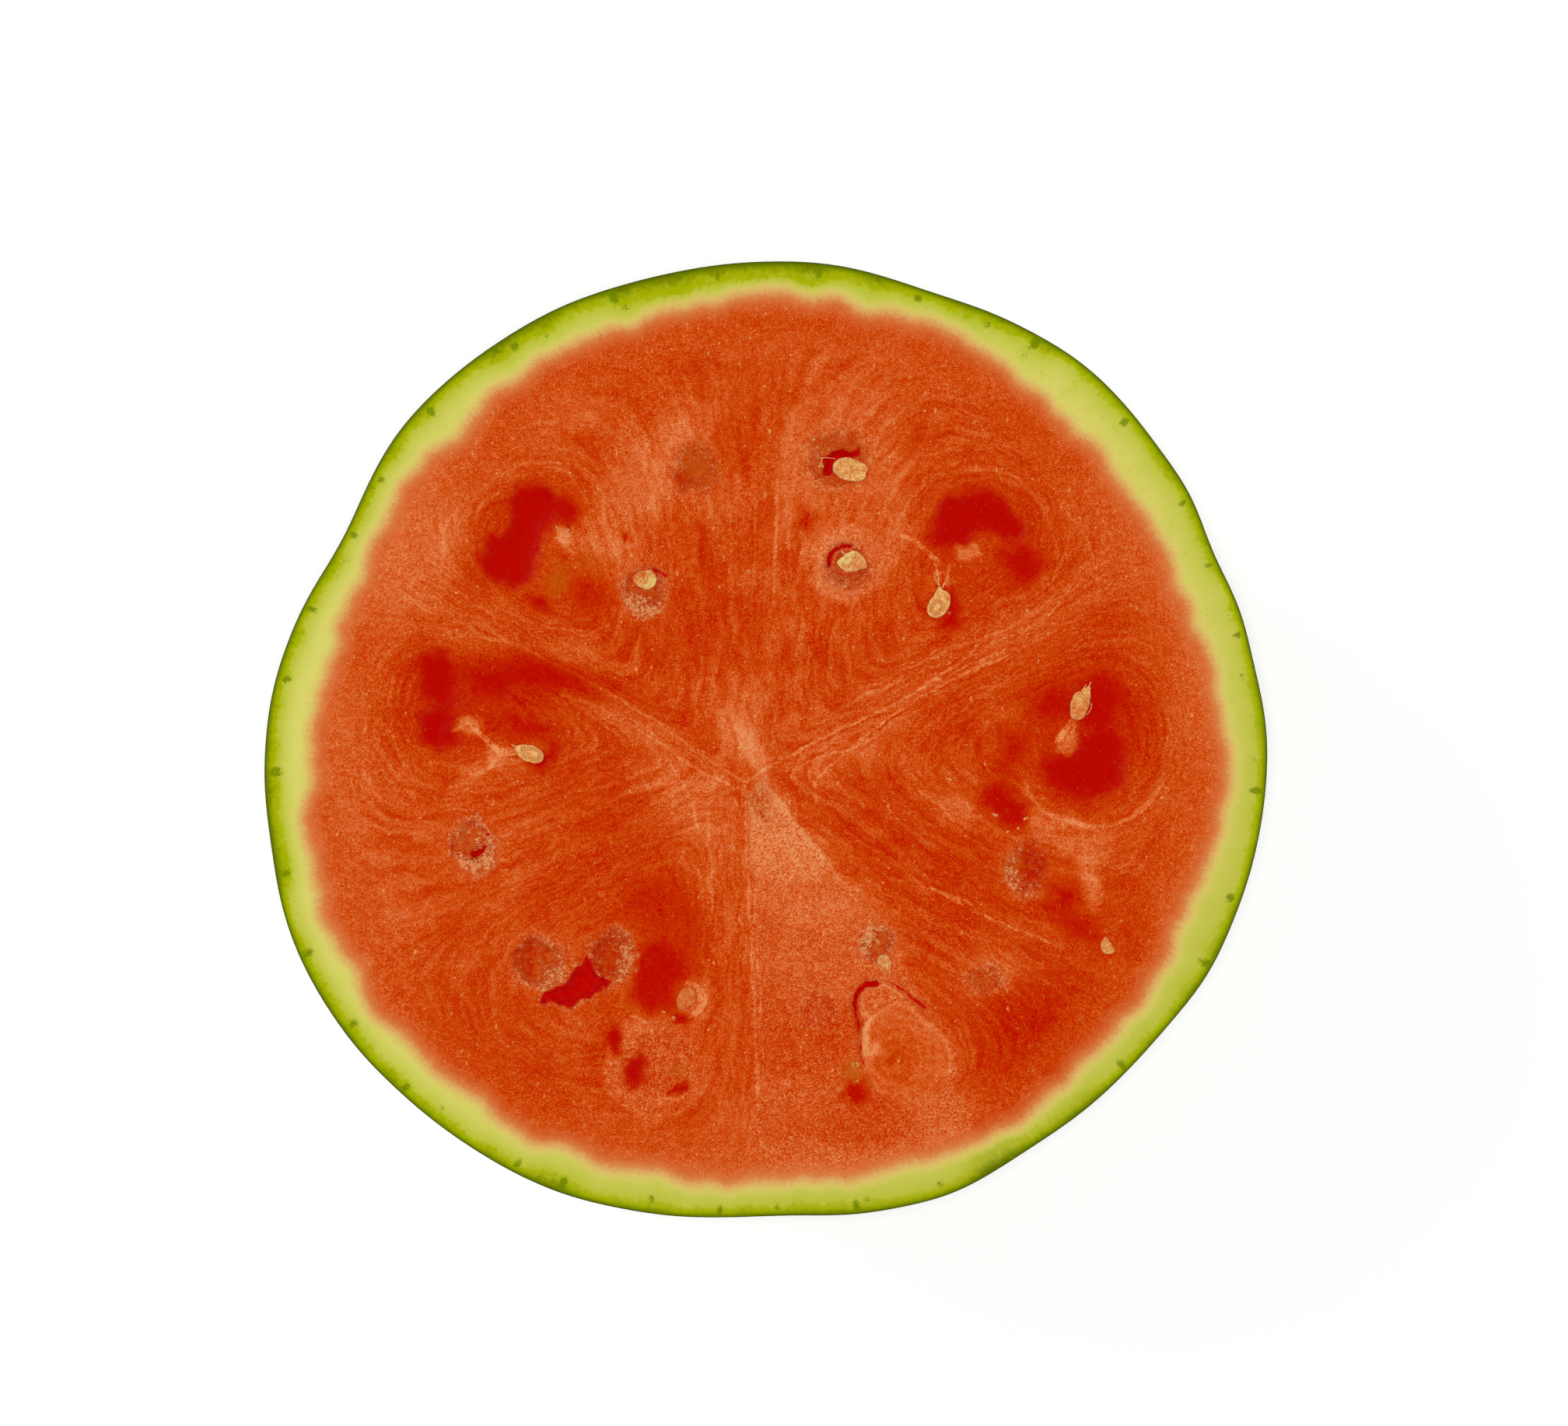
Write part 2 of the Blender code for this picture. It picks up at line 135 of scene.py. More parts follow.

# Broad patches of another tone: x, y, half length, half width, turn, tone, strength, softness of the edge.
PATCHES = (
    # darker flesh round the lobes' cores and between the seams
    (-49.5, 40.5, 15, 12, 50, 0.35, 0.85, 0.5), (45, 41, 16, 12.5, -15, 0.31, 0.85, 0.5),
    (-59, 9, 17, 11, 5, 0.22, 0.9, 0.45), (66.5, 1, 13, 16, 0, 0.21, 0.9, 0.45),
    (-44, 11, 16, 4.5, -8, 0.2, 0.8, 0.6), (-28, 9, 15, 3.4, -24, 0.28, 0.8, 0.6),
    (-62, 18, 8, 3.4, 0, 0.26, 0.7, 0.6), (57, 8, 6, 5, 0, 0.28, 0.6, 0.6),
    (-24, -33, 11, 6.5, 12, 0.27, 0.85, 0.5), (-12, -44, 5, 9, 0, 0.32, 0.5, 0.6),
    (-21.5, -48.5, 6.5, 7.5, 0, 0.22, 0.8, 0.4), (54, -58, 13, 9.5, 28, 0.36, 0.8, 0.6),
    (48, -69, 13, 6, 33, 0.36, 0.7, 0.5), (44, -27, 15, 7, -35, 0.33, 0.8, 0.6),
    (24, -20, 12, 4, -32, 0.34, 0.7, 0.6), (35, -38, 12, 5, -30, 0.36, 0.7, 0.6),
    (48, -4, 5, 7, 0, 0.31, 0.7, 0.5), (38, -2, 8, 5, 10, 0.42, 0.5, 0.6),
    (62, -35, 5, 7, 40, 0.3, 0.8, 0.5), (-11, 29, 9, 17, 0, 0.36, 0.8, 0.6),
    (0, 46, 9, 20, 0, 0.43, 0.7, 0.6), (20, 18, 17, 6, 12, 0.39, 0.7, 0.6),
    (39, 28, 9, 6, 0, 0.35, 0.7, 0.6), (-37, -10, 10, 12, 0, 0.37, 0.7, 0.6),
    (-30, -23, 16, 7, 16, 0.36, 0.7, 0.6), (-36, 30, 9, 8, 0, 0.4, 0.6, 0.5),
    (-52, -62, 16, 9, -28, 0.39, 0.7, 0.6), (-28, -76, 16, 5, -12, 0.42, 0.5, 0.6),
    (-19, 38, 5, 6, 0, 0.42, 0.6, 0.5), (-20, 18, 24, 5, -22, 0.37, 0.7, 0.5),
    (2, 64, 5, 12, 0, 0.44, 0.5, 0.5), (45, 63, 16, 7, -38, 0.46, 0.6, 0.5),
    (-12, 73, 22, 4, 0, 0.44, 0.6, 0.6), (-44, 64, 16, 6, 35, 0.5, 0.5, 0.6),
    (70, 22, 7, 6, 0, 0.36, 0.5, 0.6), (-72, 15, 6, 9, 0, 0.28, 0.6, 0.6),
    (38, 17, 9, 3, 20, 0.34, 0.6, 0.6), (67, -38, 7, 3.4, -55, 0.3, 0.7, 0.6),
    (-8, 47, 6, 3, 35, 0.34, 0.6, 0.6), (-32, -60, 3.4, 9, 20, 0.38, 0.6, 0.6),
    (-20, -76, 8, 2.6, 10, 0.4, 0.6, 0.6), (-13, -46, 2.6, 12, 0, 0.38, 0.6, 0.6),
    # paler flesh between the lobes and the rind
    (-71, 38, 17, 8.5, 68, 0.68, 0.85, 0.5), (-62, 57, 10, 5, 45, 0.54, 0.5, 0.6),
    (-84, -8, 20, 6, 93, 0.62, 0.8, 0.5), (-76, 17, 9, 5, 80, 0.56, 0.6, 0.6),
    (-78, -38, 14, 7, -55, 0.56, 0.7, 0.6), (-72, -22, 12, 9, 0, 0.53, 0.6, 0.6),
    (-50, -19, 9, 5, 20, 0.6, 0.5, 0.6), (77, 42, 18, 9, -65, 0.58, 0.7, 0.6),
    (66, 44, 12, 5, -65, 0.52, 0.5, 0.6), (88, 8, 16, 5, 90, 0.6, 0.7, 0.5),
    (86, -22, 16, 6, 80, 0.55, 0.6, 0.5), (20, 76, 24, 6, -10, 0.56, 0.6, 0.5),
    (-22, 79, 14, 4, 10, 0.52, 0.5, 0.5), (-16, -78, 22, 7, 0, 0.52, 0.6, 0.5),
    # pale flesh round the upper seeds and the buried one
    (15, 52, 13, 18, 0, 0.6, 0.85, 0.35), (15, 65, 13, 5, 0, 0.66, 0.6, 0.5),
    (24, 44, 6, 10, 0, 0.64, 0.6, 0.5), (5, 58, 3, 10, 0, 0.66, 0.6, 0.5),
    (-23, 56, 13, 7.5, 62, 0.7, 0.9, 0.4), (-31, 43, 6.5, 9, 0, 0.62, 0.8, 0.5),
    (-11, 49, 6, 5, 0, 0.58, 0.7, 0.5), (-35, 40, 7, 2.6, 0, 0.68, 0.8, 0.5),
    (-28, 66, 9, 6, 20, 0.5, 0.5, 0.5),
    # pale flesh along the seams and round the heart
    (-5, 4, 8, 6, 90, 0.68, 0.85, 0.5), (-6, 12, 8, 5, 0, 0.56, 0.6, 0.6),
    (-2.6, -2, 2.4, 6, 25, 0.84, 0.9, 0.5), (-14, -12, 13, 6.5, -45, 0.62, 0.85, 0.5),
    (-12, -24, 5, 10, 10, 0.62, 0.7, 0.6), (-9, -36, 3, 12, 0, 0.54, 0.5, 0.6),
    (-29, 4.5, 13, 3.2, -30, 0.58, 0.8, 0.5), (-44, 21, 14, 3, -28, 0.56, 0.6, 0.6),
    (-60, 22.5, 10, 4.5, 0, 0.58, 0.6, 0.5), (14, -2, 13, 6, 18, 0.57, 0.8, 0.5),
    (38, 15, 22, 4, 25, 0.54, 0.7, 0.5), (58, 27, 9, 4.5, 25, 0.54, 0.6, 0.5),
    # patches in the right-hand lobe
    (38.5, -14.5, 3.4, 5, 15, 0.64, 0.8, 0.4), (56, -17, 2.6, 4, 0, 0.62, 0.8, 0.4),
    (64, -20, 7, 4, -20, 0.66, 0.85, 0.4), (66, -28, 2.4, 6.5, 5, 0.6, 0.7, 0.5),
    (75, -17, 9, 2.5, 22, 0.56, 0.6, 0.5), (30, -6, 6, 3, 0, 0.56, 0.6, 0.6),
    (44.5, -47, 7.5, 3.4, 0, 0.6, 0.8, 0.4), (-61, -8, 4.5, 1.8, 45, 0.66, 0.7, 0.5),
    (-55, -3.6, 2.2, 2.4, 0, 0.76, 0.8, 0.4), (41.4, 38.2, 2.2, 1.9, 0, 0.74, 0.9, 0.3),
    (-60.6, 2.8, 2.5, 1.8, -15, 0.72, 0.9, 0.4), (61.4, -0.8, 2, 2.2, 0, 0.66, 0.9, 0.3),
    (-41.2, 41.3, 1.9, 1.9, 0, 0.86, 0.9, 0.4), (-12.6, -53.2, 1.4, 4.6, -8, 0.66, 0.8, 0.5),
    # the duller flesh below the heart
    (7, -47, 9, 10, 0, 0.56, 0.6, 0.6), (8, -33, 10, 5, 0, 0.72, 0.7, 0.5),
    (9, -63, 9, 7, 0, 0.46, 0.8, 0.6), (13, -59, 4, 5, 0, 0.36, 0.7, 0.6),
    (16, -79, 13, 4.5, 0, 0.44, 0.8, 0.6), (35, -77, 9, 4.5, 15, 0.64, 0.7, 0.5),
    (3, -86, 20, 3.5, 0, 0.6, 0.6, 0.6), (22, -37, 3, 6, 30, 0.6, 0.6, 0.6),
    (6, -75, 7, 4, 0, 0.56, 0.6, 0.6),
    # lower left
    (-39, -62, 6, 6, 0, 0.52, 0.5, 0.6), (-22, -66, 10, 10, 0, 0.5, 0.6, 0.4),
    (-24.5, -60.5, 2.4, 3.6, 25, 0.66, 0.8, 0.5), (-43, -34, 14, 4, 12, 0.5, 0.5, 0.6),
    # finer shades, right of the heart
    (40, 12, 4, 7, 0, 0.38, 0.8, 0.6), (40, 1, 5, 6, 0, 0.31, 0.8, 0.6), (53, 16, 8, 4, 20, 0.36, 0.6, 0.6),
    (33, 0, 5, 5, 0, 0.38, 0.6, 0.6), (24, -8, 5, 4, 0, 0.39, 0.7, 0.6),
    (26, -15, 6, 4, -30, 0.33, 0.7, 0.6), (40, -24, 6, 5, -30, 0.29, 0.8, 0.6),
    (38, -32, 7, 4.5, -30, 0.32, 0.8, 0.6), (27, -31, 5, 3.5, -30, 0.38, 0.7, 0.6),
    (8, 24, 5, 5, 0, 0.42, 0.6, 0.6), (12, 16, 7, 3.5, 0, 0.4, 0.6, 0.6), (1, 1, 4, 5, 0, 0.53, 0.6, 0.6),
    (15, 40, 5, 4, 0, 0.76, 0.6, 0.6), (61, -31, 5, 3.5, 0, 0.48, 0.6, 0.6),
    (48, -40, 5, 3, -30, 0.4, 0.6, 0.6), (40, -48, 4, 3, 0, 0.44, 0.6, 0.6),
    (33, -57, 4, 4, 0, 0.47, 0.7, 0.6), (40, -56, 5, 5, 0, 0.36, 0.8, 0.6),
    (48, -56, 7, 5, 30, 0.27, 0.8, 0.6), (56, -56, 6, 5, 40, 0.2, 0.8, 0.6),
    (49, -64, 6, 4, 35, 0.25, 0.8, 0.6), (64, -48, 5, 5, 50, 0.32, 0.7, 0.6),
    (72, -40, 5, 6, 60, 0.34, 0.8, 0.6), (73, -32, 4, 5, 75, 0.34, 0.6, 0.6),
    (80, -24, 4, 5, 80, 0.42, 0.6, 0.6), (66, -27.5, 2, 6, 8, 0.74, 0.7, 0.5),
    # finer shades, left of the heart
    (-41, 67, 7, 5, 35, 0.6, 0.7, 0.6), (-32, 33, 4, 3, 0, 0.52, 0.6, 0.6),
    (-16, 31, 4, 5, 0, 0.35, 0.7, 0.6), (-46, 24, 8, 3.5, 0, 0.37, 0.7, 0.6),
    (-72, 15, 4, 5, 0, 0.25, 0.7, 0.6), (-40, 6.5, 4.5, 3, 0, 0.46, 0.6, 0.6),
    (-24, 8, 4, 4, 0, 0.5, 0.5, 0.6), (-16, -24, 4, 4, 0, 0.42, 0.7, 0.6),
    (-42, -33, 7, 5, 15, 0.35, 0.8, 0.6), (-16, -40, 4.5, 5, 0, 0.31, 0.7, 0.6),
    (-40, -40, 6, 5, 0, 0.42, 0.7, 0.6), (-56, -40, 5, 4, 0, 0.41, 0.6, 0.6),
    (-48, -24, 5, 4, 0, 0.4, 0.7, 0.6), (-32, -24, 5, 4, 0, 0.32, 0.6, 0.6),
    (-32, -65, 5, 6, 0, 0.3, 0.8, 0.6), (-32, -73, 5, 4, 0, 0.4, 0.7, 0.6),
    (-16, -63, 5, 5, 0, 0.42, 0.7, 0.6),
    # finer shades in the duller flesh
    (8, -29, 8, 5, 0, 0.58, 0.7, 0.6), (8, -22, 5, 4, 0, 0.66, 0.5, 0.6), (0, -38, 4, 5, 0, 0.5, 0.6, 0.6),
    (1, -56, 6, 6, 0, 0.47, 0.7, 0.6), (1, -64, 6, 5, 0, 0.42, 0.8, 0.6),
    (16, -57, 4, 4, 0, 0.42, 0.6, 0.6), (24, -77, 7, 5, 0, 0.44, 0.8, 0.6),
    (-8, -56, 4, 6, 0, 0.44, 0.5, 0.6),
)

# Deep red hearts of the lobes, and painted shadows in shallow hollows beside three seeds: corners, softness
# of the edge, how full the red is, depth.
CAVITIES_AND_SEED_SHADOWS = (
    (((-50.6, 51.4), (-45, 51.4), (-42.6, 49.4), (-42.4, 46.4), (-44.8, 44), (-46.4, 41), (-47.6, 37),
     (-48.6, 33), (-53.6, 31.8), (-57.2, 33.4), (-58.4, 37), (-57, 40.4), (-53.6, 42), (-52.4, 45),
     (-51.8, 48.5)), 1.8, 1, 1.5),
    (((-43, 49.6), (-39.6, 49.2), (-38.2, 46.6), (-39.4, 44.6), (-42.8, 45.2)), 2.2, 0.6, 0.8),
    (((34.6, 46.4), (37, 49.4), (41.6, 50.6), (46, 50), (49.6, 48), (51.4, 45), (52, 41.6), (49, 41.4),
     (46, 43.4), (42.6, 41.8), (40.4, 39.8), (38, 39.2), (34, 39.4), (33, 41.4), (34.6, 43.4)),
     2.2, 0.9, 1.5),
    (((48.4, 38), (51, 39.6), (54.4, 38.6), (56, 35.6), (54, 32.6), (50, 32.8)), 3, 0.4, 0.7),
    (((-70, 17), (-66, 17.8), (-63.8, 14.6), (-63.6, 9), (-66.8, 7.8), (-70, 9.4)), 2, 0.8, 1.2),
    (((-70, 5), (-66.6, 6.2), (-63.8, 3.8), (-63.6, -0.8), (-67, -2.2), (-70, -0.6)), 1.8, 0.9, 1.3),
    (((-60.6, 14), (-54, 14), (-51, 11.6), (-55, 9.6), (-60.6, 10.4)), 4, 0.28, 0.5),
    (((-52.6, 15.2), (-45.6, 15.8), (-40, 13), (-34, 9), (-40, 10.4), (-50, 12)), 4, 0.26, 0.5),
    (((-67, 9), (-64, 9.4), (-64.4, 5), (-68, 5)), 3, 0.2, 0.9),
    (((56.8, -5), (58.6, -3.4), (62, -3.4), (64.2, -2.2), (65.4, 0.8), (70.6, 1.6), (73.4, -2), (72, -7.6),
     (68.8, -10.8), (63, -11.6), (58.4, -9.4)), 2.4, 0.8, 1.5),
    (((65.6, 2), (70.6, 3), (72.4, 9), (70, 13.4), (66.4, 11), (65.4, 5)), 4, 0.35, 0.6),
    (((57, 9), (61, 9.6), (61.6, 6), (58.4, 5), (55.4, 6.6)), 5, 0.15, 0.3),
    (((44.6, -10), (48.8, -9.6), (52.6, -13), (52.8, -17.4), (50, -18), (47.4, -15.6), (44.2, -13.4)),
     3, 0.55, 1),
    (((53.4, -22), (56, -23), (57.2, -26.4), (56.4, -29.6), (53.6, -29), (52.8, -25.6)), 2.6, 0.45, 0.9),
    (((58.6, -30.4), (62, -30.2), (63.4, -33), (60.8, -34.8), (58.8, -33.2)), 4, 0.3, 0.4),
    (((61, -37), (65.4, -38), (67, -40), (63, -39.6)), 4, 0.1, 0.3),
    (((49.6, 0.4), (52.4, 0.2), (51.6, -3.4), (49.2, -5.6)), 4, 0.2, 0.4),
    (((-27, -52.6), (-26, -46), (-23.6, -42), (-19, -42.4), (-16.4, -46.6), (-17.6, -50), (-19.6, -54),
     (-24, -55.6)), 4.5, 0.24, 0.7),
    (((-28, -34), (-21, -30.6), (-16.6, -33), (-15.4, -40.6), (-22, -36.4)), 5, -0.3, 0.2),
    (((-32.8, -60.4), (-31.4, -58.8), (-30, -60.4), (-29.8, -64), (-31.4, -64.8)), 1.6, 0.6, 1.2),
    (((-29, -69.6), (-28, -65.6), (-26, -64.2), (-25, -66), (-25.4, -69.4), (-27.4, -71)), 1.8, 0.6, 1.2),
    (((-19.9, -72.8), (-18.6, -70.6), (-16.2, -69.8), (-16.6, -71.6), (-18.4, -73)), 1.3, 0.6, 0.7),
    # painted shadow below the seventh seed
    (((-18.9, -57.6), (-18, -56), (-14.6, -56.8), (-16, -58)), 1.2, 0.7, 0.8),
    (((16, -73), (17.6, -69.6), (20, -70), (20.6, -73), (18.8, -74.6)), 2.4, 0.5, 1),
    (((-51, -44), (-48.6, -41.6), (-46.6, -43.6), (-47.4, -46.6), (-50.4, -47)), 3.4, 0.1, 0.3),
    (((-36.2, -44.6), (-34.4, -41.2), (-31, -40.8), (-29.8, -43), (-31.4, -46.6), (-34.6, -47.4)),
     3, 0.22, 0.6),
    (((6, 44), (8, 46.6), (9.8, 45), (8.4, 43.2)), 3.5, 0.2, 0.3),
    (((-18.8, 54), (-17.6, 53.6), (-14.4, 52.6), (-17, 51.6)), 2, 0.3, 0.3),
    (((-29.6, 42.4), (-28.2, 42.2), (-28.6, 40.8)), 1.6, 0.4, 0.3),
    # painted shadow along the right side of the third seed
    (((37.6, 30.6), (39.4, 28), (38.6, 25), (39.6, 23.2), (36.2, 23.4), (35.4, 24.8), (37.2, 26.4)),
     1.8, 0.6, 0.9),
    # painted shadow below and to the right of the eighth seed
    (((-48.4, -4.4), (-46.4, -6.4), (-43.6, -4.8), (-42, -1.6), (-43.8, -0.2), (-44.8, -3)), 2, 0.6, 0.9),
    (((-48.6, 29.8), (-46, 29), (-44, 26.4), (-46.6, 27)), 2, 0.4, 0.5),
    (((-38, 31.4), (-34.6, 31.8), (-33.4, 28.8), (-36.6, 28)), 5, 0.05, 0.2),
    (((-52.6, 4.2), (-44, 2.4), (-44.6, 0.8), (-51, 1.6)), 4, 0.1, 0.3),
)

# The split between the two lower left pits, and the gap beside the uppermost seed, both painted dark
# inside as painted shade.
SPLIT = (
    (-45.9, -54), (-40.2, -54.4), (-35.4, -52.5), (-33.6, -50.6), (-31.6, -49.6), (-33.6, -48.5),
    (-35.6, -47.8), (-36.4, -44.4), (-37.6, -43.8), (-38.4, -46.8), (-40.2, -49.2), (-43.2, -50.9),
    (-45.8, -52.4),
)
SEED_GAP = (
    (11.7, 57.4), (13.4, 58.9), (15.8, 59.5), (17.4, 58.6), (19.6, 60.6), (19.3, 58), (16.6, 57), (14, 56),
    (13.6, 53.8), (11.5, 54.2),
)

# Pits where seeds lay: x, y, radius of the floor and of the pale halo, height share, tones of the floor and
# the halo, crumbs, depth, and the side on which the halo is strongest, from +X, with how one-sided it is.
PITS = (
    (-46.3, -45.6, 5.3, 7.4, 1, 0.43, 0.66, 0.34, 1.2, -30, 0.4),
    (-31.7, -44.3, 4.7, 6.2, 1.15, 0.38, 0.74, 0.38, 1.4, 0, 0.6),
    (-60.2, -21.8, 4.4, 6, 1.25, 0.6, 0.68, 0.5, 0.8, -20, 0.3),
    (22.6, -41.8, 3.5, 5.5, 0.95, 0.53, 0.74, 0.42, 0.9, 150, 0.3),
    (16.8, 35.4, 4.8, 8.4, 1, 0.56, 0.76, 0.26, 1, 200, 0.5),
    (-24.8, 30.4, 4.6, 6.4, 1.05, 0.55, 0.68, 0.42, 0.9, 250, 0.5),
    (53.4, -26.4, 4.2, 6, 1.25, 0.36, 0.68, 0.36, 0.5, 200, 0.7),
    (11, -55.2, 3.6, 5, 1, 0.42, 0.6, 0.08, 0.4, 100, 0.4),
    (44.5, -49, 3.8, 5.8, 0.66, 0.45, 0.66, 0.26, 0.4, 60, 0.4),
    (14.6, 57.2, 6, 8.6, 0.95, 0.42, 0.64, 0.22, 0.7, 140, 0.2),
    (-14.2, 55.4, 4.6, 6.2, 1.1, 0.42, 0.62, 0.2, 0.5, 170, 0.5),
    (-0.6, -12.8, 2.2, 3.6, 1.6, 0.7, 0.84, 0.08, 0.3, 60, 0.3),
    (-16.2, -52.8, 2.6, 4.2, 1.1, 0.5, 0.66, 0.02, 0.2, 15, 0.8),
    (-22.5, -66, 8, 11.5, 0.95, 0.5, 0.58, 0, 0.2, 200, 0.5),
)

# Brownish, smooth flesh over a buried seed: x, y, half length, half width, turn, strength.
BROWN = (
    (-14, 55.6, 4.8, 3.8, 58, 0.8), (-42.8, 32.6, 3.8, 2.4, 70, 0.7), (14.8, 57.4, 6.6, 6, 10, 0.5),
    (17.8, -67.8, 2.6, 1.8, 60, 0.9), (-18.5, -67.6, 2.4, 1.8, 0, 0.5), (17, 32.8, 3.8, 1.8, 0, 0.4),
    (-46.2, -45.4, 4.6, 4.6, 0, 0.5), (-32.6, -44.2, 3.6, 3.6, 0, 0.4), (-60.6, -20.6, 3.6, 4.2, 0, 0.5),
    (22.8, -41.6, 3, 2.4, 0, 0.5), (-24.6, 29.4, 3, 3.2, 0, 0.5), (51, -25.6, 2.6, 3, 0, 0.5),
    (43.6, -49.2, 3, 2, 0, 0.4), (-0.8, -12, 2.6, 4.4, 20, 0.3), (-36, 36, 5, 3, 0, 0.3),
)

# Straw-coloured bits of seed coat and stalk: x, y, half length, half width, turn, strength.
STRAW = (
    (-41.3, 41.6, 0.8, 1.2, 20, 0.5), (41.3, 38.2, 1.2, 1.4, 10, 0.35), (-60.6, 3, 1.9, 1.2, -15, 0.45),
    (-0.6, -11.6, 1, 1.6, 20, 0.3), (11.4, -61.9, 0.5, 0.35, 40, 0.6), (-3.7, 34.3, 0.6, 0.55, 0, 0.7),
    (21.3, -63.4, 1.4, 1.6, 20, 0.4), (18.3, -66.6, 1.3, 1.2, 30, 0.55), (-24.6, -60.2, 1, 2.2, 15, 0.35),
    (61.6, -0.6, 1, 1.3, 10, 0.3), (9.8, 61.4, 0.5, 0.35, -40, 1), (11.7, 55.8, 0.4, 0.8, 0, 0.9),
    (37.3, 25.9, 0.4, 0.4, 0, 0.9), (46.8, -15.4, 0.7, 0.22, -38, 1), (53.1, -16.2, 0.6, 0.22, 35, 1),
    (51.6, -18.1, 0.5, 0.25, 0, 0.9), (49.6, -19, 0.2, 0.6, 0, 0.9), (37.4, -7.9, 0.7, 0.3, -20, 0.8),
    (39.8, -9, 0.5, 0.25, -30, 0.9), (45, -5, 0.35, 0.35, 0, 0.9), (30.3, -17.3, 0.4, 0.3, 0, 0.7),
    (-24, 47.2, 0.3, 1, 0, 0.8), (-18.6, 58, 0.7, 0.4, 30, 0.6), (-45.3, -51.2, 0.9, 0.4, 15, 0.9),
    (-30.4, -45.6, 0.6, 0.6, 0, 0.9), (-29.4, -43.8, 0.4, 0.4, 0, 0.9), (-30.4, -48.4, 0.5, 0.3, 30, 0.8),
    (-40.4, -53, 0.3, 0.5, 0, 0.8), (-20.9, -55.9, 0.4, 0.3, 0, 0.9), (-18.8, -56.9, 0.25, 0.5, 0, 0.9),
    (18.6, -70, 0.6, 0.25, 30, 0.8), (0.2, -13.6, 0.4, 0.3, 0, 1), (-1, -11, 0.3, 0.4, 0, 0.9),
    (2, -16, 0.3, 0.3, 0, 0.8),
)

